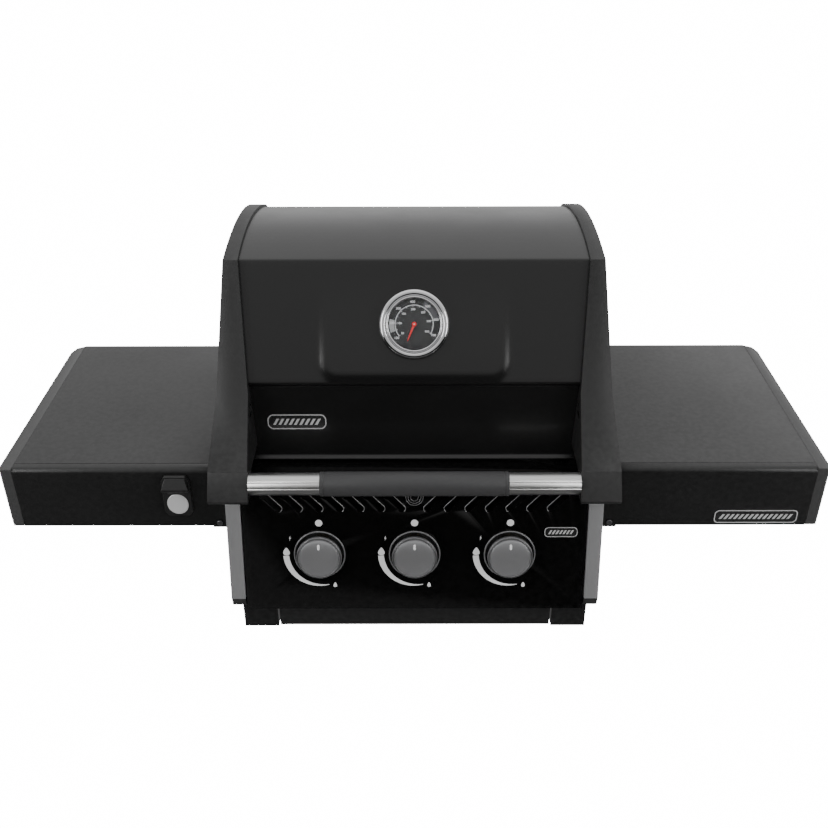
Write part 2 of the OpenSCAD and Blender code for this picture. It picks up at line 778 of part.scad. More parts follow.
module handle_screws() {
    color([0.3, 0.3, 0.3]) for (s = SIDES) on_side(s) {
        rod_x(handle_c[0], handle_c[1], bolt_r, handle_half_l - 10, block_out_w - 8);
        rod_x(handle_c[0], handle_c[1], bolt_r + 2.5, block_out_w - 8, block_out_w - 3);
    }
}

module lid_badge() {
    rise = unit(apron_top - apron_foot);
    place = apron_foot + 57 * rise;
    color([0.8, 0.8, 0.8]) translate([104.5 - lid_half_w, place[0], place[1]])
        rotate([atan2(rise[1], rise[0]), 0, 0]) linear_extrude(1.5) square([90, 24], center = true);
}

// ---- Temperature gauge ----

module gauge_bezel() {
    color([0.75, 0.75, 0.76]) on_front(0) difference() {
        union() {
            cylinder(r = gauge_r - 3, h = gauge_proud - 3);
            translate([0, 0, gauge_proud - 9]) cylinder(r = gauge_r, h = 6);
            cylinder(r = dial_r + 4.5, h = gauge_proud);
        }
        translate([0, 0, gauge_proud - 9]) cylinder(r = dial_r, h = 20);
        translate([0, 0, -1]) cylinder(r = probe_r + 6, h = 20);
    }
}

module gauge_dial() {
    color([0.05, 0.05, 0.05]) on_front(0) ring(dial_r, probe_r, gauge_proud - 9, gauge_proud - 8);
}

module gauge_glass() {
    color([0.8, 0.85, 0.9, 0.3]) on_front(0) translate([0, 0, gauge_proud - 3]) cylinder(r = dial_r, h = 1.5);
}

module gauge_probe() {
    color([0.7, 0.7, 0.7]) on_front(0) {
        translate([0, 0, -probe_l]) cylinder(r = probe_r, h = probe_l + gauge_proud - 7.5);
        cylinder(r = spindle_r, h = gauge_proud - 4);
        ring(probe_r + 6, probe_r - 0.5, -8, gauge_proud - 9);
    }
}

module gauge_nut() {
    color([0.6, 0.6, 0.6]) on_front(0) translate([0, 0, -lid_sheet - 5]) difference() {
        cylinder(r = 16, h = 5, $fn = 6);
        translate([0, 0, -1]) cylinder(r = probe_r + 6, h = 7);
    }
}

module gauge_needle() {
    color([0.8, 0.05, 0.05]) on_front(0) translate([0, 0, gauge_proud - 6.5]) rotate([0, 0, 248])
        difference() {
            union() {
                cylinder(r = 4, h = 1.6);
                linear_extrude(0.6) polygon([[0, -2.4], [dial_r - 11, -0.5], [dial_r - 11, 0.5], [0, 2.4]]);
            }
            translate([0, 0, -1]) cylinder(r = spindle_r + needle_gap, h = 4);
        }
}

// ---- Knobs ----

module knob(x) {
    color([0.3, 0.3, 0.3]) on_panel(x, knob_z) difference() {
        rotate_extrude() polygon([
            [0, knob_low], [knob_r - 2, knob_low], [knob_r, knob_low + 2], [knob_r - 0.4, knob_h - 5],
            [knob_r - 2.6, knob_h - 2.8], [knob_r - 12, knob_h - 0.8], [0, knob_h]
        ]);
        translate([0, 0, knob_low - 1]) cylinder(r = stem_r, h = stem_top - knob_low + 1);
    }
}

module stem(x) {
    color([0.75, 0.75, 0.75]) on_panel(x, knob_z) translate([0, 0, stem_low])
        cylinder(r = stem_r, h = stem_top - stem_low);
}

module collar(x) {
    color([0.6, 0.6, 0.6]) on_panel(x, knob_z) ring(collar_r, stem_r + run_gap, collar_low, collar_top);
}

// ---- Side shelves ----

module shelf_top(side) {
    path = [[shelf_back, shelf_low_z], [shelf_back, shelf_top_z], [seam_y, shelf_top_z]];
    color([0.3, 0.3, 0.3]) on_side(side) difference() {
        union() {
            along_x(shelf_in, trim_x) polygon(bent(path, shelf_t));
            span([return_x, shelf_back - return_w, shelf_low_z], [trim_x, shelf_back, shelf_low_z + shelf_t]);
            for (x = [shelf_in + 80, trim_x - 60]) translate([x, 0, 0]) shelf_stiffener();
        }
        rod_y(pivot_x, pivot_z, pivot_r + run_gap, shelf_back - 5, shelf_back + 1);
    }
}

// A hat-shaped rail under the shelf's sheet.
module shelf_stiffener() {
    half = 16;
    deep = 14;
    path = [[-half - 10, 0], [-half, 0], [2 - half, -deep], [half - 2, -deep], [half, 0], [half + 10, 0]];
    translate([0, 0, shelf_top_z - shelf_t]) along_y(seam_y + 12, shelf_back - 12)
        polygon(bent(path, -shelf_t));
}

module shelf_fascia(side) {
    r = shelf_edge_r;
    path = concat([[shelf_front, shelf_low_z]],
        arc([shelf_front + r, shelf_top_z - r], r, 180, 90, 8), [[seam_y - 0.8, shelf_top_z]]);
    color([0.09, 0.09, 0.09]) on_side(side) difference() {
        union() {
            along_x(shelf_in, trim_x) polygon(bent(path, -shelf_t));
            span([return_x, shelf_front, shelf_low_z],
                [trim_x, shelf_front + return_w, shelf_low_z + shelf_t]);
            span([return_x, seam_y - 8, shelf_top_z - 14], [trim_x, seam_y + 10, shelf_top_z - 12]);
            span([return_x, shelf_front + shelf_t, shelf_top_z - 14], [trim_x, seam_y - 8, shelf_top_z - 12]);
        }
        rod_y(pivot_x, pivot_z, pivot_r + run_gap, shelf_front - 1, shelf_front + 5);
    }
}

module shelf_trim(side) {
    corner = 26;
    color([0.2, 0.2, 0.2]) on_side(side) difference() {
        translate([0, 0, shelf_low_z]) linear_extrude(shelf_h) polygon([
            [trim_x, shelf_front], [shelf_out - 5, shelf_front], [shelf_out, shelf_front + 5],
            [shelf_out, shelf_back - corner], [shelf_out - 6, shelf_back - 8], [trim_x, shelf_back]
        ]);
        span([trim_x - 1, shelf_front + 3, shelf_low_z - 1],
            [shelf_out - 3, shelf_back - corner - 2, shelf_top_z - 3]);
    }
}

module bottle_opener() {
    x = -shelf_in - 70;
    y = shelf_front;
    color([0.12, 0.12, 0.12]) difference() {
        along_x(x - 22, x + 22) polygon([
            [y, 190], [y - 5, 192], [y - 7, 238], [y - 16, 242], [y - 16, 246], [y - 7, 262], [y, 262]
        ]);
        span([x - 14, y - 20, 232], [x + 14, y - 3, 243]);
    }
}

module shelf_badge() {
    x = trim_x - 79;
    z = shelf_low_z + 5;
    color([0.7, 0.7, 0.7]) along_x(x - 64, x + 64)
        polygon([[shelf_front - 1.2, z], [shelf_front, z], [shelf_front, z + 24], [shelf_front - 1.2, z + 24]]);
}

// ---- Grease tray ----

module grease_tray() {
    low = tray_z;
    top = tray_z + tray_h;
    front = -base_half_d;
    back = front + tray_l;
    color([0.35, 0.35, 0.36]) difference() {
        union() {
            span([-tray_half_w, front + 2, low], [tray_half_w, back, top]);
            span([-tray_half_w - 14, front + 2, top - tray_t], [tray_half_w + 14, back, top]);
            span([-tray_front_half_w, front, base_wall + 0.5], [tray_front_half_w, front + 2, tray_front_h]);
        }
        span([tray_t - tray_half_w, front + 2 + tray_t, low + tray_t],
            [tray_half_w - tray_t, back - tray_t, top + 1]);
    }
}

module drip_cup() {
    low = tray_z + tray_t;
    color([0.75, 0.75, 0.75]) difference() {
        span([-75, -90, low], [75, 60, low + 20]);
        span([-74, -89, low + 1], [74, 59, low + 21]);
    }
}

base_frame();
cook_box();
hinge_brackets();
hinge_pins();
control_panel();
panel_pillar(-1);  // panel_pillar_left
panel_pillar(1);  // panel_pillar_right
pillar_feet();
panel_badge();
knob_bezels();
gas_valves();
manifold();
burner(knob_x[0]);  // burner_left
burner(knob_x[1]);  // burner_centre
burner(knob_x[2]);  // burner_right
igniters();
flame_plates();
cooking_grid(-1);  // cooking_grid_left
cooking_grid(1);  // cooking_grid_right
warming_rack();
shelf_bracket(-1);  // shelf_bracket_left
shelf_bracket(1);  // shelf_bracket_right
shelf_pivots();
bracket_bolts();
lid_sheet();
lid_cap(-1);  // lid_cap_left
lid_cap(1);  // lid_cap_right
handle_block(-1);  // handle_block_left
handle_block(1);  // handle_block_right
handle_tube();
handle_grip();
handle_screws();
lid_badge();
gauge_bezel();
gauge_dial();
gauge_glass();
gauge_probe();
gauge_nut();
gauge_needle();
knob(knob_x[0]);  // knob_left
knob(knob_x[1]);  // knob_centre
knob(knob_x[2]);  // knob_right
stem(knob_x[0]);  // stem_left
stem(knob_x[1]);  // stem_centre
stem(knob_x[2]);  // stem_right
collar(knob_x[0]);  // collar_left
collar(knob_x[1]);  // collar_centre
collar(knob_x[2]);  // collar_right
shelf_top(-1);  // shelf_left_top
shelf_fascia(-1);  // shelf_left_fascia
shelf_trim(-1);  // shelf_left_trim
bottle_opener();
shelf_top(1);  // shelf_right_top
shelf_fascia(1);  // shelf_right_fascia
shelf_trim(1);  // shelf_right_trim
shelf_badge();
grease_tray();
drip_cup();
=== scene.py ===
# %% [markdown]
# # A gas grill head, piece by piece
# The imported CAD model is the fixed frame. Every piece here is either the CAD shape with real rounded
# edges and a finish, or a finer mesh that takes the place of one CAD node and rides on its body.

# %% Load the frame
import json
import math

import bmesh
import bpy
from mathutils import Matrix, Vector


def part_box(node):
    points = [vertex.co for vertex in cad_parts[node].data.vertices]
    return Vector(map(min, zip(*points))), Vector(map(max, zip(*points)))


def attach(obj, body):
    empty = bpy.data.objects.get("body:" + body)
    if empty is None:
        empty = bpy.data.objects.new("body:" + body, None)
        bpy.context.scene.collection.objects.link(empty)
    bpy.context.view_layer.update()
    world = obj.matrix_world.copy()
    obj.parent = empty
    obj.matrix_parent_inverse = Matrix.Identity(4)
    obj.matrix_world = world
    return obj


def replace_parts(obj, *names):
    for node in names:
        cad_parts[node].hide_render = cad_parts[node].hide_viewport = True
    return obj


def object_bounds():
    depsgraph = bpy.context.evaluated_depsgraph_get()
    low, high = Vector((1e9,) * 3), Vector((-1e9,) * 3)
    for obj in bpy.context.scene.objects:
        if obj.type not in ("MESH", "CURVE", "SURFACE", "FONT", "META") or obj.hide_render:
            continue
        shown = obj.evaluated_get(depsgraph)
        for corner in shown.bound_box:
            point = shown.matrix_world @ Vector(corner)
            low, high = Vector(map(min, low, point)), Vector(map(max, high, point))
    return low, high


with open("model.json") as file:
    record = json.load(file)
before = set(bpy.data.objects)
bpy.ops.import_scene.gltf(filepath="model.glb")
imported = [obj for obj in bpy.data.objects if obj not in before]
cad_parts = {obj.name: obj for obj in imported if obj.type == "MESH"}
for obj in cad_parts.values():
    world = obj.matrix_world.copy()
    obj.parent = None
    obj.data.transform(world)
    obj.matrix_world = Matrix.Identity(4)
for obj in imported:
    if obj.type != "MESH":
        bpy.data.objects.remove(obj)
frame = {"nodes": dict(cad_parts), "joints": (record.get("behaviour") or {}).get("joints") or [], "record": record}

MM = 0.001
NODES = frame["nodes"]
NODE_BODY = {n: b for b, members in frame["record"]["behaviour"]["bodies"].items() for n in members}
NODE_SLOT = {s["node"]: s["material_slot"] for s in frame["record"]["subparts"]}
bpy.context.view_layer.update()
low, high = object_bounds()
print("frame:", len(NODES), "nodes, size", [round(h - l, 4) for l, h in zip(low, high)])

# %% [markdown]
# ## Camera
# A product shot from in front and above. The lens and the tilt set how strongly the shelves converge.

# %% Camera
LENS = 43.0
CAMERA_TILT = math.radians(31.49)
CAMERA_PLACE = Vector((0.0011, -1.4253, 1.1144))
CAMERA_ROLL = math.radians(0.12)
SENSOR_W = 36

camera = bpy.data.objects.new("camera", bpy.data.cameras.new("camera"))
bpy.context.scene.collection.objects.link(camera)
camera.data.lens = LENS
camera.data.sensor_width = SENSOR_W
camera.data.clip_end = 60
camera.location = CAMERA_PLACE
camera.rotation_euler = (math.pi / 2 - CAMERA_TILT, CAMERA_ROLL, 0)
bpy.context.scene.camera = camera
print("camera at", tuple(round(c, 3) for c in CAMERA_PLACE))

# %% [markdown]
# ## Studio
# Black enamel shows only what it mirrors, so the studio is set up as for any glossy thing: bright above
# and behind, a broad bright window in front at the height of the eye, and black from there down to the
# floor. The lid's front mirrors the window, and the control panel mirrors the black. Floor and backdrop
# are white to the eye. The floor lies where a cart would stand, so the folded shelves have room to hang.

# %% Floor
FLOOR_Z = -0.66
FLOOR_HALF = 7
PAPER_WHITE = 16.0


def camera_white(tree, other):
    """A shader that glows white to the camera and is the other shader to every other ray."""
    eye = tree.nodes.new("ShaderNodeLightPath")
    glow = tree.nodes.new("ShaderNodeEmission")
    glow.inputs["Strength"].default_value = PAPER_WHITE
    mix = tree.nodes.new("ShaderNodeMixShader")
    tree.links.new(eye.outputs["Is Camera Ray"], mix.inputs["Fac"])
    tree.links.new(other, mix.inputs[1])
    tree.links.new(glow.outputs[0], mix.inputs[2])
    return mix.outputs[0]


def floor_paper():
    material = bpy.data.materials.new("floor_paper")
    material.use_nodes = True
    tree = material.node_tree
    shader = tree.nodes["Principled BSDF"]
    shader.inputs["Base Color"].default_value = (0.93, 0.93, 0.93, 1)
    shader.inputs["Roughness"].default_value = 0.9
    tree.links.new(camera_white(tree, shader.outputs[0]), tree.nodes["Material Output"].inputs["Surface"])
    return material


floor_mesh = bpy.data.meshes.new("studio_floor")
corners = [(x * FLOOR_HALF, y * FLOOR_HALF, FLOOR_Z) for x, y in ((-1, -1), (1, -1), (1, 1), (-1, 1))]
floor_mesh.from_pydata(corners, [], [(0, 1, 2, 3)])
floor = bpy.data.objects.new("studio_floor", floor_mesh)
bpy.context.scene.collection.objects.link(floor)
floor_mesh.materials.append(floor_paper())
floor.visible_glossy = False
print("floor at", FLOOR_Z, "m")

# %% World
# Brightness by height (the direction's Z, from -1 to 1) in front of the grill and behind it.
FRONT_LIGHT = ((-1.0, 0.12), (-0.5, 0.1), (-0.32, 0.0), (0.1, 0.0), (0.22, 0.42), (0.6, 0.6), (1.0, 1.0))
TURN_WIDTH = 0.3
BACK_LIGHT = ((-1.0, 0.1), (-0.2, 0.7), (0.08, 1.1), (0.4, 0.8), (0.7, 1.15), (1.0, 1.3))

world = bpy.data.worlds.new("studio")
bpy.context.scene.world = world
world.use_nodes = True


def light_ramp(tree, height, stops):
    """A colour ramp that reads a height from -1 to 1."""
    ramp = tree.nodes.new("ShaderNodeValToRGB")
    while len(ramp.color_ramp.elements) < len(stops):
        ramp.color_ramp.elements.new(0.5)
    for element, (at, value) in zip(ramp.color_ramp.elements, stops):
        element.position = (at + 1) / 2
        element.color = (value, value, value, 1)
    tree.links.new(height, ramp.inputs[0])
    return ramp.outputs["Color"]


def build_world(tree):
    """The front ramp and the back ramp, blended where the direction turns from front to back."""
    tree.nodes.clear()
    place = tree.nodes.new("ShaderNodeTexCoord")
    parts = tree.nodes.new("ShaderNodeSeparateXYZ")
    height = tree.nodes.new("ShaderNodeMapRange")
    height.inputs["From Min"].default_value = -1
    behind = tree.nodes.new("ShaderNodeMapRange")
    behind.inputs["From Min"].default_value = -TURN_WIDTH
    behind.inputs["From Max"].default_value = TURN_WIDTH
    behind.interpolation_type = "SMOOTHSTEP"
    mix = tree.nodes.new("ShaderNodeMix")
    mix.data_type = "RGBA"
    glow = tree.nodes.new("ShaderNodeBackground")
    out = tree.nodes.new("ShaderNodeOutputWorld")
    link = tree.links.new
    link(place.outputs["Generated"], parts.inputs[0])
    link(parts.outputs["Z"], height.inputs["Value"])
    link(parts.outputs["Y"], behind.inputs["Value"])
    link(behind.outputs[0], mix.inputs["Factor"])
    link(light_ramp(tree, height.outputs[0], FRONT_LIGHT), mix.inputs["A"])
    link(light_ramp(tree, height.outputs[0], BACK_LIGHT), mix.inputs["B"])
    link(mix.outputs["Result"], glow.inputs["Color"])
    link(camera_white(tree, glow.outputs[0]), out.inputs["Surface"])


build_world(world.node_tree)


# %% Lights
def soft_box(name, place, target, size, power, glossy=True):
    """A rectangular soft box at place, turned to face target."""
    data = bpy.data.lights.new(name, "AREA")
    data.shape = "RECTANGLE"
    data.size, data.size_y = size
    data.energy = power
    lamp = bpy.data.objects.new(name, data)
    bpy.context.scene.collection.objects.link(lamp)
    lamp.location = place
    lamp.rotation_euler = (Vector(target) - Vector(place)).to_track_quat("-Z", "Y").to_euler()
    lamp.visible_glossy = glossy
    return lamp


MIDDLE = (0, 0, 0.25)
soft_box("light_top", (0, 0.3, 2.6), MIDDLE, (3.0, 1.6), 24, glossy=False)
soft_box("light_front", (0, -2.6, 2.2), MIDDLE, (2.4, 1.0), 12, glossy=False)
for side, name in ((-1, "light_left"), (1, "light_right")):
    soft_box(name, (side * 2.4, -1.5, 1.2), MIDDLE, (0.6, 2.0), 26)

# %% [markdown]
# ## Shared shader groups
# Four effects turn up in many finishes: the orange-peel grain of powder coat, the drawn lines of brushed
# steel, faint handling marks, and a painted highlight that makes the edges a little lighter. Each is one node
# group, and each material places it with its own values. A group puts out only values and colours.


# %% Group helper
def new_group(name, inputs, outputs):
    """A shader node group with float inputs {name: default} and outputs {name: socket type}."""
    group = bpy.data.node_groups.new(name, "ShaderNodeTree")
    for label, value in inputs.items():
        socket = group.interface.new_socket(label, in_out="INPUT", socket_type="NodeSocketFloat")
        socket.default_value = value
    for label, kind in outputs.items():
        group.interface.new_socket(label, in_out="OUTPUT", socket_type=kind)
    source = group.nodes.new("NodeGroupInput")
    sink = group.nodes.new("NodeGroupOutput")
    place = group.nodes.new("ShaderNodeTexCoord")
    return group, source, sink, place


def noise(group, place, scale, detail=3.0, stretch=(1, 1, 1), socket=None):
    """A noise texture in object space, stretched along the axes by stretch; scale may be linked."""
    mapping = group.nodes.new("ShaderNodeMapping")
    mapping.inputs["Scale"].default_value = stretch
    texture = group.nodes.new("ShaderNodeTexNoise")
    texture.inputs["Scale"].default_value = scale
    texture.inputs["Detail"].default_value = detail
    group.links.new(place.outputs["Object"], mapping.inputs["Vector"])
    group.links.new(mapping.outputs["Vector"], texture.inputs["Vector"])
    if socket is not None:
        group.links.new(socket, texture.inputs["Scale"])
    return texture


def spread(group, source, low_value, high_value, out_low=0.0, out_high=1.0):
    """Maps a value from low..high to out_low..out_high, clamped."""
    node = group.nodes.new("ShaderNodeMapRange")
    node.inputs["From Min"].default_value = low_value
    node.inputs["From Max"].default_value = high_value
    node.inputs["To Min"].default_value = out_low
    node.inputs["To Max"].default_value = out_high
    group.links.new(source, node.inputs["Value"])
    return node.outputs[0]


def arithmetic(group, operation, first, second):
    node = group.nodes.new("ShaderNodeMath")
    node.operation = operation
    for slot, value in zip(node.inputs, (first, second)):
        if isinstance(value, (int, float)):
            slot.default_value = value
        else:
            group.links.new(value, slot)
    return node.outputs[0]


# %% Powder grain
def make_grain():
    """Fine bumps of sprayed and baked powder: two sizes of noise."""
    group, source, sink, place = new_group("powder_grain", {"Scale": 900}, {"Height": "NodeSocketFloat"})
    fine = noise(group, place, 900, 2.0, socket=source.outputs["Scale"])
    half = arithmetic(group, "MULTIPLY", source.outputs["Scale"], 0.4)
    broad = noise(group, place, 300, 1.0, socket=half)
    total = arithmetic(group, "ADD", fine.outputs["Fac"], broad.outputs["Fac"])
    group.links.new(total, sink.inputs["Height"])
    return group


# %% Drawn lines
def make_brushing():
    """Lines drawn along X by the grinding belt, as a height and as a share of roughness."""
    outputs = {"Height": "NodeSocketFloat", "Streak": "NodeSocketFloat"}
    group, source, sink, place = new_group("brushed_lines", {"Scale": 60}, outputs)
    fine = noise(group, place, 60, 4.0, (0.6, 40, 40), source.outputs["Scale"])
    group.links.new(fine.outputs["Fac"], sink.inputs["Height"])
    group.links.new(spread(group, fine.outputs["Fac"], 0.3, 0.7), sink.inputs["Streak"])
    return group


# %% Handling marks
def make_marks():
    """Soft wiped patches and a thin dust of specks, from 0 to 1."""
    inputs = {"Patch Scale": 9, "Speck Scale": 420}
    outputs = {"Patch": "NodeSocketFloat", "Specks": "NodeSocketFloat"}
    group, source, sink, place = new_group("handling_marks", inputs, outputs)
    patch = noise(group, place, 9, 5.0, (1, 1, 1.6), source.outputs["Patch Scale"])
    speck = noise(group, place, 420, 1.0, (1, 1, 1), source.outputs["Speck Scale"])
    group.links.new(spread(group, patch.outputs["Fac"], 0.42, 0.68), sink.inputs["Patch"])
    group.links.new(spread(group, speck.outputs["Fac"], 0.7, 0.78), sink.inputs["Specks"])
    return group


# %% Edge wear
def make_edges():
    """Where the surface turns outwards, broken up by noise: a mask for a painted highlight on the edges."""
    inputs = {"Width": 0.6, "Breakup": 130}
    group, source, sink, place = new_group("painted_edge_highlight", inputs, {"Mask": "NodeSocketFloat"})
    shape = group.nodes.new("ShaderNodeNewGeometry")
    edge = spread(group, shape.outputs["Pointiness"], 0.52, 0.62)
    broken = noise(group, place, 130, 3.0, socket=source.outputs["Breakup"])
    edge_sheen = arithmetic(group, "MULTIPLY", edge, spread(group, broken.outputs["Fac"], 0.35, 0.65))
    group.links.new(arithmetic(group, "MULTIPLY", edge_sheen, source.outputs["Width"]), sink.inputs["Mask"])
    return group


GRAIN = make_grain()
BRUSHING = make_brushing()
MARKS = make_marks()
EDGES = make_edges()
print("groups:", [g.name for g in bpy.data.node_groups])

# %% [markdown]
# ## Finishes
# One function makes every opaque finish from a few values: base colour and roughness, how much the wiped
# patches change the roughness, the grain's size and depth, the coat of enamel, and how much a painted
# highlight lightens the edges.

# %% Finish
FINISHES = {}
COAT_ROUGHNESS = 0.05
BRUSH_DEPTH = 0.02
GLASS_IOR = 1.1


def place_group(tree, group, **values):
    node = tree.nodes.new("ShaderNodeGroup")
    node.node_tree = group
    for label, value in values.items():
        node.inputs[label.replace("_", " ")].default_value = value
    return node


def finish(name, colour, roughness, metallic=0.0, coat=0.0, grain=(900, 0.0), marks=0.06, edge_sheen=0.02,
           brushed=0.0, dust=0.0):
    """A Principled material with grain (scale, depth in millimetres), wiped patches and a painted highlight on the
    edges.
    """
    material = bpy.data.materials.new(name)
    material.use_nodes = True
    tree = material.node_tree
    shader = tree.nodes["Principled BSDF"]
    shader.inputs["Metallic"].default_value = metallic
    shader.inputs["Coat Weight"].default_value = coat
    shader.inputs["Coat Roughness"].default_value = COAT_ROUGHNESS
    wiped = place_group(tree, MARKS)
    edges = place_group(tree, EDGES)
    # Painted highlight: the base colour is made lighter where the edge mask lies.
    light = tree.nodes.new("ShaderNodeMix")
    light.data_type = "RGBA"
    light.inputs["A"].default_value = (*colour, 1)
    light.inputs["B"].default_value = (*[min(1, c + edge_sheen) for c in colour], 1)
    tree.links.new(edges.outputs["Mask"], light.inputs["Factor"])
    dusty = tree.nodes.new("ShaderNodeMix")
    dusty.data_type = "RGBA"
    dusty.inputs["B"].default_value = (*[min(1, c + dust) for c in colour], 1)
    tree.links.new(wiped.outputs["Specks"], dusty.inputs["Factor"])
    tree.links.new(light.outputs["Result"], dusty.inputs["A"])
    tree.links.new(dusty.outputs["Result"], shader.inputs["Base Color"])
    rough = spread(tree, wiped.outputs["Patch"], 0, 1, roughness, min(1, roughness + marks))
    bump = tree.nodes.new("ShaderNodeBump")
    bump.inputs["Strength"].default_value = 1
    if brushed:
        lines = place_group(tree, BRUSHING)
        rough = arithmetic(tree, "ADD", rough, arithmetic(tree, "MULTIPLY", lines.outputs["Streak"], brushed))
        bump.inputs["Distance"].default_value = BRUSH_DEPTH * MM
        tree.links.new(lines.outputs["Height"], bump.inputs["Height"])
    else:
        bumps = place_group(tree, GRAIN, Scale=grain[0])
        bump.inputs["Distance"].default_value = grain[1] * MM
        tree.links.new(bumps.outputs["Height"], bump.inputs["Height"])
    tree.links.new(rough, shader.inputs["Roughness"])
    tree.links.new(bump.outputs["Normal"], shader.inputs["Normal"])
    FINISHES[name] = material
    return material


def glass_finish(name, colour):
    """Clear flat glass that lets light through to the dial."""
    material = bpy.data.materials.new(name)
    material.use_nodes = True
    tree = material.node_tree
    shader = tree.nodes["Principled BSDF"]
    shader.inputs["Base Color"].default_value = (*colour, 1)
    shader.inputs["Transmission Weight"].default_value = 1
    shader.inputs["IOR"].default_value = GLASS_IOR
    clear = tree.nodes.new("ShaderNodeBsdfTransparent")
    path = tree.nodes.new("ShaderNodeLightPath")
    mix = tree.nodes.new("ShaderNodeMixShader")
    tree.links.new(path.outputs["Is Shadow Ray"], mix.inputs["Fac"])
    tree.links.new(shader.outputs["BSDF"], mix.inputs[1])
    tree.links.new(clear.outputs["BSDF"], mix.inputs[2])
    tree.links.new(mix.outputs["Shader"], tree.nodes["Material Output"].inputs["Surface"])
    wiped = place_group(tree, MARKS, Patch_Scale=30)
    tree.links.new(spread(tree, wiped.outputs["Patch"], 0, 1, 0.01, 0.05), shader.inputs["Roughness"])
    FINISHES[name] = material
    return material


# %% The grill's own finishes, named as the record's slots
finish("base_steel", (0.005, 0.005, 0.005), 0.42, grain=(700, 0.02), dust=0.02)
finish("box_enamel", (0.010, 0.010, 0.010), 0.36, coat=0.2, grain=(500, 0.03), dust=0.02)
finish("zinc_steel", (0.32, 0.32, 0.33), 0.35, metallic=1, grain=(500, 0.01))
finish("gloss_enamel", (0.002, 0.002, 0.002), 0.10, coat=0.3, grain=(240, 0.004), marks=0.03, edge_sheen=0.01)
finish("pillar_grey", (0.36, 0.36, 0.365), 0.42, metallic=0.6, grain=(1300, 0.015))
finish("dark_plastic", (0.02, 0.02, 0.02), 0.5, grain=(800, 0.03))
finish("badge_metal", (0.62, 0.62, 0.62), 0.32, metallic=0.35, grain=(900, 0.004))
finish("bezel_black", (0.012, 0.012, 0.012), 0.22, coat=0.3, grain=(900, 0.005))
finish("brass", (0.62, 0.45, 0.2), 0.3, metallic=1, grain=(600, 0.01))
finish("manifold_steel", (0.25, 0.25, 0.26), 0.38, metallic=1, grain=(600, 0.01))
finish("stainless", (0.55, 0.54, 0.52), 0.3, metallic=1, brushed=0.2)
finish("ceramic", (0.8, 0.79, 0.75), 0.3, coat=0.5, grain=(400, 0.005))
finish("cast_iron", (0.012, 0.012, 0.012), 0.5, grain=(420, 0.12), marks=0.15, dust=0.03)
finish("rack_wire", (0.5, 0.5, 0.5), 0.22, metallic=1, grain=(700, 0.01))
finish("lid_enamel", (0.006, 0.006, 0.006), 0.30, coat=0.15, grain=(1100, 0.006), marks=0.05, edge_sheen=0.015)
finish("cast_satin", (0.010, 0.010, 0.010), 0.46, grain=(900, 0.03), marks=0.06, edge_sheen=0.03)
finish("handle_steel", (0.66, 0.66, 0.65), 0.24, metallic=1, brushed=0.16)
finish("grip_plastic", (0.034, 0.034, 0.035), 0.55, grain=(1100, 0.02), marks=0.08)
finish("gauge_chrome", (0.75, 0.75, 0.76), 0.12, metallic=1, grain=(500, 0.002), marks=0.06)
finish("dial_black", (0.008, 0.008, 0.008), 0.6, grain=(900, 0.003))
glass_finish("gauge_glass", (0.98, 0.99, 1))
finish("needle_red", (0.62, 0.01, 0.01), 0.4, grain=(900, 0.002))
finish("knob_smoke", (0.42, 0.42, 0.43), 0.3, metallic=0.75, grain=(300, 0.004), marks=0.06)
finish("knob_side", (0.06, 0.06, 0.062), 0.3, metallic=0.3, coat=0.3, grain=(700, 0.006))
finish("knob_rim", (0.26, 0.26, 0.265), 0.3, metallic=0.5, grain=(500, 0.002))
# A light metal finish for the slot lips and the vent's rings: a painted highlight.
finish("highlight_metal", (0.42, 0.42, 0.42), 0.35, metallic=0.8, grain=(900, 0.004))
finish("shelf_satin", (0.018, 0.018, 0.018), 0.36, grain=(1500, 0.02), marks=0.06, edge_sheen=0.03, dust=0.03)
finish("powder_texture", (0.007, 0.007, 0.007), 0.4, grain=(620, 0.16), marks=0.05, edge_sheen=0.02)
finish("shelf_trim", (0.04, 0.04, 0.04), 0.34, grain=(1200, 0.01))
finish("opener_black", (0.012, 0.012, 0.012), 0.3, coat=0.2, grain=(700, 0.01))
finish("tray_steel", (0.009, 0.009, 0.009), 0.4, grain=(600, 0.02))
finish("foil", (0.7, 0.7, 0.7), 0.3, metallic=1, grain=(160, 0.15))
finish("white_print", (0.75, 0.75, 0.75), 0.5, grain=(900, 0.002))
finish("grey_print", (0.3, 0.3, 0.3), 0.5, grain=(900, 0.002))
finish("dark_print", (0.06, 0.06, 0.065), 0.5, grain=(900, 0.002))
print("finishes:", len(FINISHES))

# %% [markdown]
# ## Real rounded edges
# A CAD solid has knife edges, and a real sheet or casting has none. Each CAD mesh is copied, its flat
# triangles are joined back into whole faces, and its edges get a small bevel, which catches the light.


# %% Rounded copy of a CAD node
SHARP_ANGLE = 28
FLAT_ANGLE = 0.6
JOIN_GAP = 0.002


def link_piece(name, mesh, body, slot, material=None, smooth=True):
    """Puts a finished mesh in the scene, gives it its finish and lets it ride on its body."""
    piece = bpy.data.objects.new(name, mesh)
    bpy.context.scene.collection.objects.link(piece)
    mesh.materials.clear()
    mesh.materials.append(FINISHES[material or slot])
    for face in mesh.polygons:
        face.use_smooth = smooth
    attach(piece, body)
    return piece


def bake_modifiers(piece):
    """Applies the piece's modifiers, so that the mesh itself has the shape."""
    bpy.context.view_layer.update()
    evaluated = piece.evaluated_get(bpy.context.evaluated_depsgraph_get())
    mesh = bpy.data.meshes.new_from_object(evaluated)
    piece.modifiers.clear()
    piece.data = mesh


def round_edges(piece, width, segments=2):
    """Bevels the piece's sharp edges, and shades the flats flat."""
    bevel = piece.modifiers.new("edges", "BEVEL")
    bevel.width = width
    bevel.segments = segments
    bevel.limit_method = "ANGLE"
    bevel.angle_limit = math.radians(SHARP_ANGLE)
    bevel.use_clamp_overlap = True
    bevel.harden_normals = True
    bake_modifiers(piece)


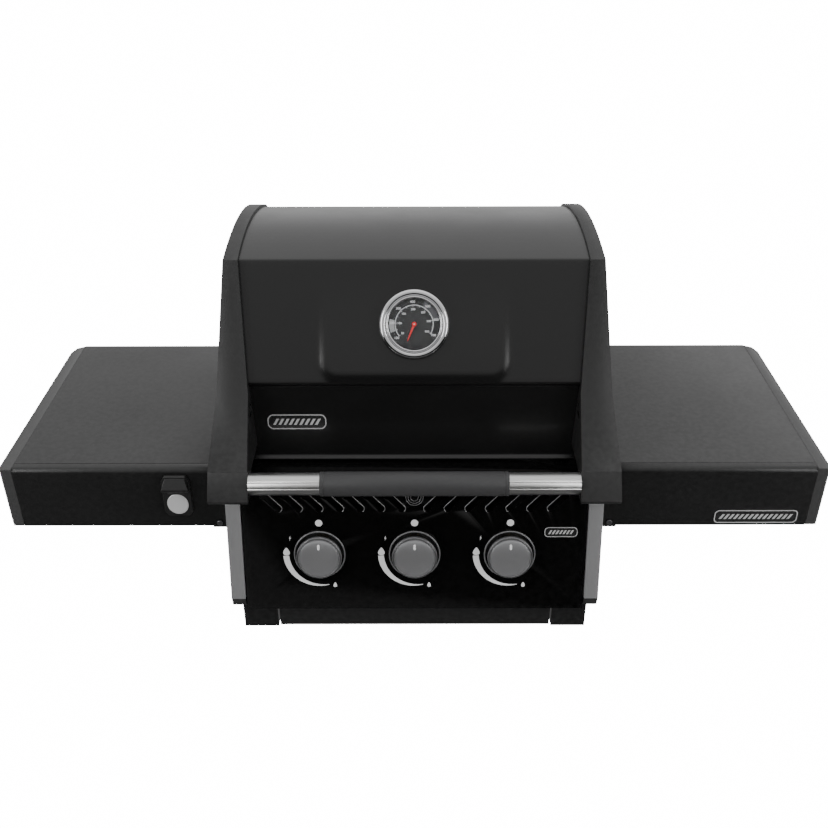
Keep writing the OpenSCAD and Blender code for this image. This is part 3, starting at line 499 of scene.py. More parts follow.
def clean_copy(node):
    """The node's mesh with doubled points joined and flat regions made whole faces."""
    mesh = NODES[node].data.copy()
    work = bmesh.new()
    work.from_mesh(mesh)
    bmesh.ops.remove_doubles(work, verts=work.verts, dist=JOIN_GAP * MM)
    bmesh.ops.dissolve_limit(work, angle_limit=math.radians(FLAT_ANGLE), verts=work.verts, edges=work.edges)
    work.to_mesh(mesh)
    work.free()
    return mesh


def rounded(node, width):
    """A piece with the node's shape and rounded edges, in the node's place."""
    piece = link_piece(node + ".rounded", clean_copy(node), NODE_BODY[node], NODE_SLOT[node])
    round_edges(piece, width)
    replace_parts(piece, node)
    return piece


# %% [markdown]
# The widths of the bevels are in millimetres, and 0 keeps the CAD mesh itself. The shelves turn on their
# bolts, whose facets would catch in the facets of the holes, so the bolts are eased by a hair.

# %% Pieces that keep their CAD shape
ROUNDING = {
    "base_frame": 0.5, "cook_box": 1.0, "hinge_brackets": 0.5, "hinge_pins": 0.5, "control_panel": 0.5,
    "panel_pillar_left": 1.6, "panel_pillar_right": 1.6, "pillar_feet": 1.6, "gas_valves": 0.5,
    "manifold": 0.5, "igniters": 0.3, "flame_plates": 0.4, "cooking_grid_left": 1.6,
    "cooking_grid_right": 1.6, "warming_rack": 0, "shelf_bracket_left": 0.5, "shelf_bracket_right": 0.5,
    "shelf_pivots": 0.7, "bracket_bolts": 0.5, "handle_screws": 0.4, "gauge_probe": 0.3, "gauge_nut": 0.5,
    "gauge_dial": 0, "gauge_glass": 0, "burner_left": 0, "burner_centre": 0, "burner_right": 0,
    "stem_left": 0.4, "stem_centre": 0.4, "stem_right": 0.4, "collar_left": 0.3, "collar_centre": 0.3,
    "collar_right": 0.3, "grease_tray": 0.5, "drip_cup": 0.3, "shelf_left_trim": 2.5,
    "shelf_right_trim": 2.5, "shelf_left_top": 0.5, "shelf_right_top": 0.5, "shelf_left_fascia": 0.5,
    "shelf_right_fascia": 0.5, "lid_cap_left": 1.5, "lid_cap_right": 1.5, "handle_block_left": 2.0,
    "handle_block_right": 2.0,
}
BOLT_EASE = 0.08

shaped = {}
for node, width in ROUNDING.items():
    if width:
        shaped[node] = rounded(node, width * MM)
    else:
        keeper = NODES[node].data
        keeper.materials.clear()
        keeper.materials.append(FINISHES[NODE_SLOT[node]])
for vertex in shaped["shelf_pivots"].data.vertices:
    vertex.co -= vertex.normal * BOLT_EASE * MM
print("rounded:", len(shaped))

# %% [markdown]
# ## Faces to build on
# The knobs stand square on the leaning panel and the gauge stands square on the lid's front. The joints
# already know both directions, so each place gets a matrix whose Z looks outwards and whose X points right.
# A shape is then drawn flat, in millimetres, and carried to its face.

# %% Places
JOINTS = {j["name"]: j for j in frame["joints"]}
SIDES = {"left": -1, "centre": 0, "right": 1}


def standing(place, outward):
    """A matrix from millimetres on a face to the model, with Z outwards and X to the right."""
    z = Vector(outward).normalized()
    x = Vector((1, 0, 0))
    y = z.cross(x)
    turn = Matrix((x, y, z)).transposed().to_4x4()
    return Matrix.Translation(place) @ turn @ Matrix.Scale(MM, 4)


KNOB_FACE = {side: standing(JOINTS["knob_turn_" + side]["pos_m"], JOINTS["knob_turn_" + side]["axis"])
             for side in SIDES}
GAUGE_FACE = standing(JOINTS["needle_turn"]["pos_m"], [-a for a in JOINTS["needle_turn"]["axis"]])
PANEL_FACE = KNOB_FACE["centre"]


def mesh_from(name, points, faces, place=None):
    mesh = bpy.data.meshes.new(name)
    mesh.from_pydata([tuple(p) for p in points], [], faces)
    if place is not None:
        mesh.transform(place)
    work = bmesh.new()
    work.from_mesh(mesh)
    bmesh.ops.recalc_face_normals(work, faces=work.faces)
    work.to_mesh(mesh)
    work.free()
    return mesh


def lathe(name, profile, place, segments=96, closed=False):
    """Turns a profile of (radius, height) points about Z; a radius of 0 closes to a point."""
    points, rings = [], []
    for radius, height in profile:
        if radius == 0:
            rings.append([len(points)] * segments)
            points.append((0, 0, height))
        else:
            rings.append(list(range(len(points), len(points) + segments)))
            for i in range(segments):
                angle = math.tau * i / segments
                points.append((radius * math.cos(angle), radius * math.sin(angle), height))
    faces = []
    for a, b in zip(rings, rings[1:] + (rings[:1] if closed else [])):
        for i in range(segments):
            j = (i + 1) % segments
            corners = list(dict.fromkeys((a[i], a[j], b[j], b[i])))
            faces.append(corners)
    return mesh_from(name, points, faces, place)


def prism(name, outline, low_z, high_z, place):
    """A flat outline in (x, y), drawn out from low_z to high_z."""
    n = len(outline)
    points = [(x, y, low_z) for x, y in outline] + [(x, y, high_z) for x, y in outline]
    faces = [list(range(n))[::-1], list(range(n, 2 * n))]
    faces += [(i, (i + 1) % n, n + (i + 1) % n, n + i) for i in range(n)]
    return mesh_from(name, points, faces, place)


ROUND = (0, 350, 35)


def arc_points(x, y, radius, start, end, count):
    """Points on an arc about (x, y), with its angles in degrees."""
    angles = [math.radians(start + (end - start) * i / count) for i in range(count + 1)]
    return [(x + radius * math.cos(a), y + radius * math.sin(a)) for a in angles]


def rounded_box(width, height, radius, count=6):
    """The outline of a rectangle with round corners, about its middle."""
    x, y = width / 2 - radius, height / 2 - radius
    outline = []
    for (cx, cy), start in (((x, y), 0), ((-x, y), 90), ((-x, -y), 180), ((x, -y), 270)):
        outline += arc_points(cx, cy, radius, start, start + 90, count)
    return outline


def join_meshes(name, meshes):
    """One mesh made of several."""
    work = bmesh.new()
    for mesh in meshes:
        work.from_mesh(mesh)
    joined = bpy.data.meshes.new(name)
    work.to_mesh(joined)
    work.free()
    return joined


print("gauge face at", [round(c, 3) for c in GAUGE_FACE.translation])

# %% [markdown]
# ## Lid sheet
# The front and the roll top are one pressed sheet. Its outline is taken from the CAD part's end face; the
# sharp corners are bent with a small radius; and a wide shallow pad is pressed out of
# the front below the gauge, flush at its top and standing out a few millimetres at the bottom.

# %% Outline of the sheet
SHEET_T = 2.0
BEND_R = 5.0
BEND_STEPS = 5
OUTLINE_STEP = 6


def end_outline(node):
    """The (y, z) points round the flat end face of a drawn-out node, in millimetres."""
    mesh = clean_copy(node)
    edge = max(v.co.x for v in mesh.vertices)
    ends = [f for f in mesh.polygons if all(mesh.vertices[i].co.x > edge - 0.01 * MM for i in f.vertices)]
    face = max(ends, key=lambda f: f.area)
    return [(mesh.vertices[i].co.y / MM, mesh.vertices[i].co.z / MM) for i in face.vertices]


def outer_half(loop, thickness):
    """The outer of the two paths of a bent sheet's outline, from its front lip to its back."""
    n = len(loop)
    steps = [math.dist(loop[i], loop[(i + 1) % n]) for i in range(n)]
    cuts = sorted(sorted(range(n), key=lambda i: abs(steps[i] - thickness))[:2])
    first = loop[cuts[0] + 1:cuts[1] + 1]
    second = loop[cuts[1] + 1:] + loop[:cuts[0] + 1]
    path = max(first, second, key=lambda part: sum(math.dist(a, b) for a, b in zip(part, part[1:])))
    return path if path[0][0] < path[-1][0] else path[::-1]


def soften(path, radius, least_turn=12):
    """Replaces each sharp corner of a path by a small curve."""
    out = [path[0]]
    for a, b, c in zip(path, path[1:], path[2:]):
        before, after = (Vector(b) - Vector(a)), (Vector(c) - Vector(b))
        turn = math.degrees(before.angle(after))
        if turn < least_turn:
            out.append(b)
            continue
        reach = min(radius * math.tan(math.radians(turn) / 2), before.length * 0.45, after.length * 0.45)
        start = Vector(b) - before.normalized() * reach
        end = Vector(b) + after.normalized() * reach
        for i in range(BEND_STEPS + 1):
            t = i / BEND_STEPS
            out.append(tuple(start * (1 - t) ** 2 + Vector(b) * 2 * t * (1 - t) + end * t * t))
    return out + [path[-1]]


def divided(path, step):
    """The path with its long stretches cut into steps."""
    out = [path[0]]
    for a, b in zip(path, path[1:]):
        pieces = max(1, math.ceil(math.dist(a, b) / step))
        out += [tuple(Vector(a).lerp(Vector(b), i / pieces)) for i in range(1, pieces + 1)]
    return out


sheet_outline = divided(soften(outer_half(end_outline("lid_sheet"), SHEET_T), BEND_R), OUTLINE_STEP)
print("sheet outline:", len(sheet_outline), "points")

# %% Pressed pad
PAD_HALF_W = 146
PAD_TOP_Z = 520
PAD_DEPTH = 5.0
PAD_EDGE = 13
PAD_CORNER = 30
FRONT_RANGE_Z = (375, 541)
SHEET_COLUMN = 4.5


def smooth_step(t):
    t = min(1, max(0, t))
    return t * t * (3 - 2 * t)


def pad_height(x, z):
    """How far the pad stands out at x and height z."""
    low_z, high_z = FRONT_RANGE_Z
    if not low_z < z < high_z:
        return 0
    across = abs(x) - (PAD_HALF_W - PAD_CORNER)
    down = (low_z + PAD_CORNER) - z
    corner = math.hypot(max(across, 0), max(down, 0)) + min(max(across, down), 0)
    inside = PAD_CORNER - corner
    growth = smooth_step((PAD_TOP_Z - z) / (PAD_TOP_Z - low_z))
    return PAD_DEPTH * growth * smooth_step(inside / PAD_EDGE)


def sheet_mesh():
    low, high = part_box("lid_sheet")
    half = high[0] / MM
    columns = math.ceil(2 * half / SHEET_COLUMN)
    xs = [-half + 2 * half * i / columns for i in range(columns + 1)]
    outward = GAUGE_FACE.col[2].xyz / MM
    points, faces = [], []
    for y, z in sheet_outline:
        for x in xs:
            raised = pad_height(x, z) if y < 0 else 0
            points.append(Vector((x, y, z)) + raised * outward)
    row = len(xs)
    for j in range(len(sheet_outline) - 1):
        for i in range(row - 1):
            a = j * row + i
            faces.append((a, a + 1, a + row + 1, a + row))
    return mesh_from("lid_sheet.pressed", points, faces, Matrix.Scale(MM, 4))


def lid_sheet_piece():
    piece = link_piece("lid_sheet.pressed", sheet_mesh(), "lid", NODE_SLOT["lid_sheet"])
    wall = piece.modifiers.new("wall", "SOLIDIFY")
    wall.thickness = SHEET_T * MM
    wall.offset = -1
    bake_modifiers(piece)
    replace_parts(piece, "lid_sheet")
    print("lid sheet faces:", len(piece.data.polygons))


lid_sheet_piece()

# %% [markdown]
# ## Louvres and vent
# Each slot in the panel is pierced and its upper edge is pushed out into a thin lip, which ends in a small
# hook round the slot's lower end. A lip is a fine rod swept along that edge: the rod is a Blender curve
# with a round bevel, turned into a mesh. The lips and the vent's rings are given a light metal finish, a
# painted highlight along these edges of the black panel.

# %% Swept rods
def rod(name, points, radius, place=None, cyclic=False):
    """A round rod along points, as a mesh."""
    data = bpy.data.curves.new(name, "CURVE")
    data.dimensions = "3D"
    data.bevel_depth = radius
    data.bevel_resolution = 2
    data.use_fill_caps = True
    line = data.splines.new("POLY")
    line.points.add(len(points) - 1)
    for target, point in zip(line.points, points):
        target.co = (*point, 1)
    line.use_cyclic_u = cyclic
    holder = bpy.data.objects.new(name, data)
    mesh = bpy.data.meshes.new_from_object(holder)
    bpy.data.objects.remove(holder)
    if place is not None:
        mesh.transform(place)
    return mesh


# %% Slot lips
SLOT_COUNT = 7
SLOT_PITCH = 31
SLOT_FIRST_X = 19.5
SLOT_W = 12
PANEL_LEAN = math.radians(12.6)
SLOT_FOOT = 74 / math.cos(PANEL_LEAN)
SLOT_RISE = 20 / math.cos(PANEL_LEAN)
LIP_R = 0.6
LIP_HOOK = (135, 235, 6)
LIP_UP = 0.3


def slot_lip(side, x):
    """The lip along a slot's upper edge and round its lower end, on the panel's face."""
    half = SLOT_W / 2
    y = SLOT_FOOT
    hook = arc_points(x, y, half, *LIP_HOOK)
    diagonal = half * 0.71
    line = [(x + SLOT_RISE - diagonal, y + SLOT_RISE + diagonal), *hook]
    return rod("lip", [(side * px, py, LIP_UP) for px, py in line], LIP_R, PANEL_FACE)


lips = [slot_lip(side, SLOT_FIRST_X + i * SLOT_PITCH) for side in (-1, 1) for i in range(SLOT_COUNT)]
# The lips' light metal finish is a painted highlight on the panel's edges.
link_piece("slot_lips", join_meshes("slot_lips", lips), "chassis", "gloss_enamel", "highlight_metal")

VENT_R = 13
VENT_Y = 92 / math.cos(PANEL_LEAN)
WIRE_R = 0.5
WIRE_UP = 0.4


def vent_wire(radius):
    points = [(x, y, WIRE_UP) for x, y in arc_points(0, VENT_Y, radius, *ROUND)]
    return rod("wire", points, WIRE_R, PANEL_FACE, cyclic=True)


vent_wires = [vent_wire(share * VENT_R) for share in (0.45, 0.75, 1)]
link_piece("vent_rings", join_meshes("vent_rings", vent_wires), "chassis", "gloss_enamel", "highlight_metal")
print("lips:", len(lips))

# %% [markdown]
# ## Printed marks
# Each knob has the same white marks: a dot for off, a spark to light, a large flame, and a tapering
# crescent down to a small flame. They are silk-screened, so each one is a flat film a tenth of a
# millimetre thick. Drop shapes stand for the flames.

# %% Marks round a knob
FILM = (0.02, 0.14)
MARK_R = 52
DOT_R = 5.5
CRESCENT_OUTER = (56, 54)
CRESCENT_INNER = (47, 53)
CRESCENT_STEPS = 40
DROP_POINTS = 24


def drop(x, y, width, height):
    """A drop with its point up."""
    outline = []
    for i in range(DROP_POINTS):
        t = math.tau * i / DROP_POINTS
        pinch = 0.5 * (1 - math.sin(t) * 0.9)
        outline.append((x + width / 2 * math.cos(t) * (0.35 + pinch), y + height / 2 * math.sin(t)))
    return outline


def crescent(outer, inner, start, end):
    """A band from a wide start to a thin end; outer and inner are (start, end) radii."""
    edge = []
    for radii in (outer, inner):
        run = []
        for i in range(CRESCENT_STEPS + 1):
            t = i / CRESCENT_STEPS
            angle = math.radians(start + (end - start) * t)
            radius = radii[0] + (radii[1] - radii[0]) * smooth_step(t * 0.5) * 2
            run.append((radius * math.cos(angle), radius * math.sin(angle)))
        edge.append(run)
    return edge[0] + edge[1][::-1]


def spark(x, y, size):
    """A lightning bolt of two strokes."""
    shape = ((0.25, 1), (-0.35, -0.1), (0.0, -0.1), (-0.25, -1), (0.35, 0.15), (0.0, 0.15))
    return [(x + px * size, y + py * size) for px, py in shape]


def on_circle(radius, angle):
    return radius * math.cos(math.radians(angle)), radius * math.sin(math.radians(angle))


def knob_marks(side):
    shapes = [
        arc_points(0, MARK_R, DOT_R, *ROUND),
        spark(*on_circle(MARK_R, 149), 4.6),
        drop(*on_circle(MARK_R - 1, 175), 11, 13),
        crescent(CRESCENT_OUTER, CRESCENT_INNER, 183, 284),
        drop(*on_circle(MARK_R + 5, 293), 6, 8),
    ]
    films = [prism("film", outline, *FILM, KNOB_FACE[side]) for outline in shapes]
    link_piece("knob_marks_" + side, join_meshes("knob_marks_" + side, films), "chassis",
               "badge_metal", "white_print", smooth=False)


for side in SIDES:
    knob_marks(side)
print("marks round", len(SIDES), "knobs")

# %% [markdown]
# ## Knobs and their rings
# A knob is a low turned body with a domed, smoked cap inside a thin bright ring. Round it on the panel
# lies a shallow black dish with a satin lip. All are lathed from profiles.

# %% Knobs
KNOB_BODY = [(0, 7), (32.4, 7), (34.0, 7.8), (34.5, 9.2), (34.3, 13.2), (33.7, 14.9), (32.6, 15.9),
             (31.6, 16.1), (31.2, 15.0), (0, 15.0)]
KNOB_CAP = [(0, 18.9), (8, 18.75), (15, 18.3), (21, 17.6), (26, 16.7), (29.4, 15.8), (30.6, 15.2),
            (0, 14.9)]
KNOB_RING = [(31.4, 15.1), (31.45, 16.0), (31.0, 16.3), (30.5, 16.0), (30.4, 15.1)]
SHOULDER = [(34.5, 9.6), (34.32, 13.2), (33.75, 14.95), (33.4, 14.7), (33.8, 13.0), (34.0, 9.6)]
POINTER_Y = 20
POINTER_W, POINTER_L = 3.6, 9


def knob(side):
    """The knob's body, cap, bright rings and pointer line."""
    node, place = "knob_" + side, KNOB_FACE[side]
    slot = NODE_SLOT[node]
    body = lathe(node + ".body", KNOB_BODY, place)
    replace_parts(link_piece(node + ".body", body, node, slot, "knob_side"), node)
    link_piece(node + ".cap", lathe(node + ".cap", KNOB_CAP, place), node, slot)
    rings = [lathe("ring", line, place, closed=True) for line in (KNOB_RING, SHOULDER)]
    link_piece(node + ".ring", join_meshes(node + ".ring", rings), node, slot, "knob_rim")
    outline = [(x, y + POINTER_Y) for x, y in rounded_box(POINTER_W, POINTER_L, POINTER_W / 2)]
    pointer = prism("pointer", outline, 17, 18.3, place)
    link_piece(node + ".pointer", pointer, node, slot, "white_print", smooth=False)


for side in SIDES:
    knob(side)

BEZEL = [(10.2, 0.1), (10.2, 1.5), (36.0, 1.5), (36.4, 2.2), (37.0, 2.4), (39.0, 2.2), (39.5, 1.4),
         (39.5, 0.1)]
LIP = [(37.2, 2.2), (37.5, 2.7), (38.2, 2.8), (39.0, 2.6), (39.4, 2.0), (39.45, 1.0), (38.6, 1.0)]
lips = join_meshes("knob_lips", [lathe("lip", LIP, KNOB_FACE[side], closed=True) for side in SIDES])
link_piece("knob_lips", lips, "chassis", NODE_SLOT["knob_bezels"], "knob_rim")
bezels = [lathe("bezel", BEZEL, KNOB_FACE[side], closed=True) for side in SIDES]
dishes = join_meshes("knob_bezels.turned", bezels)
dish = link_piece("knob_bezels.turned", dishes, "chassis", NODE_SLOT["knob_bezels"])
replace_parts(dish, "knob_bezels")
print("knobs:", len(SIDES))

# %% [markdown]
# ## Temperature gauge
# The bezel is one spun ring: a broad rounded rim, a fine groove, and a bright inner lip that holds the
# glass. The dial's marks are printed films: an arc with ticks, two rows of plain numbers in degrees, and
# two shaded zones. Ticks and numbers share one scale of angles.

# %% Bezel of the gauge
GAUGE_BEZEL = [
    (38.5, 0.2), (38.5, 11.2), (38.9, 12.6), (39.9, 13.3), (41.1, 13.2), (41.9, 12.2), (42.2, 10.9),
    (42.9, 10.9), (43.3, 12.2), (44.6, 13.4), (46.6, 13.9), (48.8, 13.4), (50.9, 11.9), (52.2, 9.6),
    (52.5, 7.4), (52.0, 5.6), (50.6, 4.8), (49.5, 4.4), (49.5, 0.2),
]
bezel_mesh = lathe("gauge_bezel.spun", GAUGE_BEZEL, GAUGE_FACE, segments=128, closed=True)
spun = link_piece("gauge_bezel.spun", bezel_mesh, "lid", NODE_SLOT["gauge_bezel"])
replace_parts(spun, "gauge_bezel")

# %% Marks on the dial
DIAL_FILM = (6.02, 6.1)
SCALE_START = 218
SCALE_SWEEP = 248
SCALE_R = 28.6
LINE_HALF = 0.3
TICKS = 48
TICKS_PER_LONG = 4
LONG_TICK, SHORT_TICK = 2.6, 1.3
NUMBERS = 7
NUMBER_ROWS = ((100, 33.2, 5.2), (50, 22.0, 4.4))
NUMBER_UP = 0.03
ZONE_FILM = (6.005, 6.015)
ZONES = (("pale", 200, 168, "grey_print"), ("dark", 66, 8, "dark_print"))


def hoop(name, outer, inner, low_z, high_z, place, closed=True):
    """A flat band between two outlines with equally many points."""
    n = len(outer)
    points = [(x, y, z) for z in (low_z, high_z) for line in (outer, inner) for x, y in line]
    faces = []
    for i in range(n if closed else n - 1):
        j = (i + 1) % n
        faces += [(i, j, n + j, n + i), (2 * n + i, 3 * n + i, 3 * n + j, 2 * n + j),
                  (i, 2 * n + i, 2 * n + j, j), (n + i, n + j, 3 * n + j, 3 * n + i)]
    if not closed:
        faces += [(0, n, 3 * n, 2 * n), (n - 1, 3 * n - 1, 4 * n - 1, 2 * n - 1)]
    return mesh_from(name, points, faces, place)


def band(radius_in, radius_out, start, end, film):
    """A printed band on the dial between two radii and two angles."""
    count = max(4, int(abs(end - start) / 3))
    outer = arc_points(0, 0, radius_out, start, end, count)
    inner = arc_points(0, 0, radius_in, start, end, count)
    return hoop("band", outer, inner, *film, GAUGE_FACE, closed=False)


def number(text, x, y, size):
    """A number on the dial in the plain built-in type, centred on (x, y)."""
    data = bpy.data.curves.new("number", "FONT")
    data.body = text
    data.size = size
    data.align_x = "CENTER"
    data.align_y = "CENTER"
    data.extrude = NUMBER_UP
    data.offset = NUMBER_UP
    data.resolution_u = 3
    holder = bpy.data.objects.new("number", data)
    mesh = bpy.data.meshes.new_from_object(holder)
    bpy.data.objects.remove(holder)
    mesh.transform(GAUGE_FACE @ Matrix.Translation((x, y, DIAL_FILM[1])))
    return mesh


def scale_angle(share):
    """The angle at a share of the scale, from 0 at its start to 1 at its end."""
    return SCALE_START - SCALE_SWEEP * share


def dial_marks():
    """The arc, its ticks and both rows of numbers, as one mesh."""
    marks = [band(SCALE_R - LINE_HALF, SCALE_R + LINE_HALF, scale_angle(0), scale_angle(1), DIAL_FILM)]
    half = math.degrees(LINE_HALF / SCALE_R)
    for i in range(TICKS + 1):
        angle = scale_angle(i / TICKS)
        length = SHORT_TICK if i % TICKS_PER_LONG else LONG_TICK
        marks.append(band(SCALE_R - length, SCALE_R, angle - half, angle + half, DIAL_FILM))
    for i in range(NUMBERS):
        angle = scale_angle(i / (NUMBERS - 1))
        for step, radius, size in NUMBER_ROWS:
            marks.append(number(str(step * (i + 1)), *on_circle(radius, angle), size))
    return join_meshes("dial_marks", marks)


link_piece("dial_marks", dial_marks(), "lid", "dial_black", "white_print", smooth=False)
for name, start, end, colour in ZONES:
    zone = band(30, 37.4, start, end, ZONE_FILM)
    link_piece("dial_zone_" + name, zone, "lid", "dial_black", colour, smooth=False)
print("dial ticks:", TICKS + 1)

# %% Needle
NEEDLE_ANGLE = math.radians(248)
needle_place = GAUGE_FACE @ Matrix.Rotation(NEEDLE_ANGLE, 4, "Z")
NEEDLE = [(-3.5, -1.2), (0, -1.8), (25.5, -0.6), (27, 0), (25.5, 0.6), (0, 1.8), (-3.5, 1.2)]
HUB = [(1.06, 7.6), (3.4, 7.6), (3.4, 8.7), (2.8, 9.1), (1.06, 9.1)]
parts = [prism("blade", NEEDLE, 7.6, 8.1, needle_place), lathe("hub", HUB, needle_place, 40, closed=True)]
blade = join_meshes("gauge_needle.blade", parts)
needle = link_piece("gauge_needle.blade", blade, "needle", NODE_SLOT["gauge_needle"], smooth=False)
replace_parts(needle, "gauge_needle")
print("needle at", round(math.degrees(NEEDLE_ANGLE)), "degrees")

# %% [markdown]
# ## Handle
# The handle is a drawn tube with fine grooves along it, and a soft grip slid over its middle. The tube's
# section is one closed line with four narrow dips, drawn out along X. The grip has a ring pressed near
# each end.

# %% Tube and grip
low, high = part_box("handle_tube")
HANDLE_Y, HANDLE_Z = (low[1] + high[1]) / 2, (low[2] + high[2]) / 2
HANDLE_R = (high[2] - low[2]) / 2 / MM
HANDLE_HALF = high[0] / MM
GROOVE_ANGLES = (140.5, 173.5, -40, -6)
GROOVE_DEPTH = 0.7
GROOVE_HALF_ANGLE = 2.6
TUBE_WALL = 1.5
TUBE_POINTS = 240
END_ROUND = 0.6
HANDLE_MIDDLE = Matrix.Translation((0, HANDLE_Y, HANDLE_Z))
ALONG_X = HANDLE_MIDDLE @ Matrix.Rotation(math.pi / 2, 4, "Y") @ Matrix.Scale(MM, 4)


def groove_dip(angle):
    """How deep the tube's section dips at an angle."""
    away = min(abs((angle - groove + 180) % 360 - 180) for groove in GROOVE_ANGLES)
    return GROOVE_DEPTH * smooth_step(1.4 * (1 - away / GROOVE_HALF_ANGLE))


def tube_ring(x, inset):
    """The section's points at x, on the grooved outside or on the smooth inside."""
    points = []
    for i in range(TUBE_POINTS):
        angle = 360 * i / TUBE_POINTS
        inside = inset == TUBE_WALL
        radius = (HANDLE_R - (inset if inside else inset + groove_dip(angle))) * MM
        turn = math.radians(angle)
        points.append((x * MM, HANDLE_Y + radius * math.cos(turn), HANDLE_Z + radius * math.sin(turn)))
    return points


def tube_mesh():
    """The grooved tube: rings of one section at both ends, with rounded end edges and an inner wall."""
    end, near_end = HANDLE_HALF, HANDLE_HALF - END_ROUND
    rings = [tube_ring(-end, END_ROUND), tube_ring(-near_end, 0), tube_ring(near_end, 0),
             tube_ring(end, END_ROUND), tube_ring(end, TUBE_WALL), tube_ring(-end, TUBE_WALL)]
    n = TUBE_POINTS
    faces = []
    for a in range(len(rings)):
        b = (a + 1) % len(rings)
        for i in range(n):
            j = (i + 1) % n
            faces.append((a * n + i, a * n + j, b * n + j, b * n + i))
    return mesh_from("handle_tube.drawn", [point for ring in rings for point in ring], faces)


tube = link_piece("handle_tube.drawn", tube_mesh(), "lid", NODE_SLOT["handle_tube"])
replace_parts(tube, "handle_tube")
low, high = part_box("handle_grip")
GRIP_HALF = high[0] / MM
GRIP_R = (high[2] - low[2]) / 2 / MM
GRIP_BORE = HANDLE_R + 0.05
grip_half = [
    (GRIP_R, 0), (GRIP_R, GRIP_HALF - 7.4), (GRIP_R - 0.5, GRIP_HALF - 7), (GRIP_R - 0.5, GRIP_HALF - 6),
    (GRIP_R, GRIP_HALF - 5.6), (GRIP_R, GRIP_HALF - 1.2), (GRIP_R - 0.4, GRIP_HALF - 0.3),
    (GRIP_R - 1.2, GRIP_HALF), (GRIP_BORE, GRIP_HALF),
]
grip_line = [(r, -x) for r, x in grip_half[::-1]] + grip_half[1:]
grip_mesh = lathe("handle_grip.moulded", grip_line, ALONG_X, closed=True)
grip = link_piece("handle_grip.moulded", grip_mesh, "lid", NODE_SLOT["handle_grip"])
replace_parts(grip, "handle_grip")
print("handle radius", round(HANDLE_R, 2), "grip radius", round(GRIP_R, 2), "mm")

# %% [markdown]
# ## Plates without a name
# Three small plates carry a neutral device: a bright frame round a black field with a row of slanted bars.
# Each is built on the outer face of its CAD plate, whose middle and direction are measured from the mesh.

# %% Plates
FRAME_UP = 0.4
BAR_LOW = 0.05
FIELD_LOW = 0.35


def plate_face(node):
    """The matrix on the plate's outer face and its width and height, in millimetres."""
    mesh = clean_copy(node)
    face = max((f for f in mesh.polygons if f.normal.y < -0.1), key=lambda f: f.area)
    place = standing(face.center, face.normal)
    inverse = place.inverted()
    corners = [inverse @ mesh.vertices[i].co for i in face.vertices]
    width = max(c.x for c in corners) - min(c.x for c in corners)
    height = max(c.y for c in corners) - min(c.y for c in corners)
    return place, width, height


def slanted_bar(x, half, lean, height):
    """The outline of a bar that leans to the right, about x."""
    foot = [(x - half - lean, -height / 2), (x + half - lean, -height / 2)]
    return foot + [(x + half + lean, height / 2), (x - half + lean, height / 2)]


def plate(node, depth, frame_w, radius, bars, bar_h):
    """The plate's dark field, and its bright frame with the bars."""
    place, width, height = plate_face(node)
    body, slot = NODE_BODY[node], NODE_SLOT[node]
    outer = rounded_box(width, height, radius)
    field = prism(node + ".field", outer, -depth, -FIELD_LOW, place)
    piece = link_piece(node + ".field", field, body, slot, "bezel_black", smooth=False)
    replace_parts(piece, node)
    inner = rounded_box(width - 2 * frame_w, height - 2 * frame_w, radius - frame_w * 0.7)
    bright = [hoop("frame", outer, inner, -FRAME_UP, 0, place)]
    pitch = (width - 6 * frame_w - radius) / bars
    for i in range(bars):
        outline = slanted_bar((i - (bars - 1) / 2) * pitch, pitch * 0.26, bar_h * 0.28, bar_h)
        bright.append(prism("bar", outline, -FRAME_UP, -BAR_LOW, place))
    link_piece(node + ".frame", join_meshes(node + ".frame", bright), body, slot, smooth=False)


plate("lid_badge", 1.5, 1.5, 9, 9, 10)
plate("panel_badge", 1.5, 1.0, 6, 7, 6.5)
plate("shelf_badge", 1.2, 1.5, 7, 15, 9)
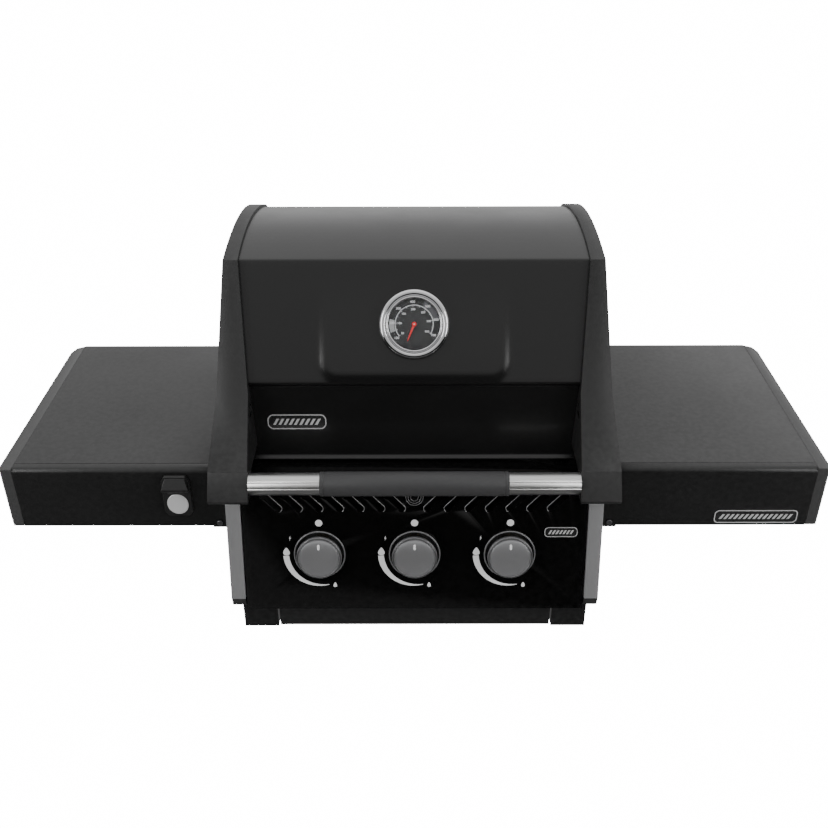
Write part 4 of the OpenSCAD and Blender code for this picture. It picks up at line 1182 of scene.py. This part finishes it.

# %% [markdown]
# ## Bottle opener
# A cast body with a hooded tooth, screwed to the left shelf's front. The hood is narrow at its top and
# wide at its brow. The mouth under it is a thin dark film on the face, painted shade where the recess
# would be, and a plain oval inlay sits below.

# %% Opener
low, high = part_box("bottle_opener")
OPENER_FACE = standing(((low[0] + high[0]) / 2, high[1], (low[2] + high[2]) / 2), (0, -1, 0))
OPENER_HALF = [(16, -36), (21.5, -28), (21.5, 26), (16, 36)]
OPENER_DEPTH = 7
HOOD = [(0, 33, 15), (7, 33, 15), (15.8, 17, 21), (15.4, 13.5, 20.5), (8, 10, 20), (0, 10, 20)]
INLAY = [(0, 8.6), (4, 8.5), (8, 8.1), (10.4, 7.7), (11.2, 7.0), (11.2, 6.5), (0, 6.5)]
INLAY_SIZE = Matrix.Diagonal((1.45, 1.65, 1, 1))


def hood_mesh():
    """The hood between two ends; each point has a depth, a height and a half width."""
    points = [(way * half, height, depth) for way in (-1, 1) for depth, height, half in HOOD]
    n = len(HOOD)
    faces = [tuple(range(n)), tuple(range(2 * n - 1, n - 1, -1))]
    faces += [(i, n + i, n + (i + 1) % n, (i + 1) % n) for i in range(n)]
    return mesh_from("hood", points, faces, OPENER_FACE)


def opener_part(name, mesh, material=None, bevel=0.0):
    piece = link_piece("bottle_opener." + name, mesh, "shelf_left", NODE_SLOT["bottle_opener"], material)
    if bevel:
        round_edges(piece, bevel * MM, 3)
    return piece


outline = OPENER_HALF + [(-x, y) for x, y in OPENER_HALF[::-1]]
body = opener_part("body", prism("body", outline, 0, OPENER_DEPTH, OPENER_FACE), bevel=1.6)
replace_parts(body, "bottle_opener")
opener_part("hood", hood_mesh(), bevel=1.2)
# Painted shade: a flat dark film on the body's face stands in for the mouth's shadowed recess.
mouth = [(x, y + 7) for x, y in rounded_box(27, 6, 3)]
mouth_shade_film = prism("mouth", mouth, OPENER_DEPTH - 0.1, OPENER_DEPTH + 0.15, OPENER_FACE)
opener_part("mouth", mouth_shade_film, "dark_plastic")
inlay_place = OPENER_FACE @ Matrix.Translation((0, -14, 0)) @ INLAY_SIZE
opener_part("inlay", lathe("inlay", INLAY, inlay_place, 64), "badge_metal")
print("opener on", NODE_BODY["bottle_opener"])

# %% [markdown]
# ## Final update

# %% Finish
bpy.context.view_layer.update()
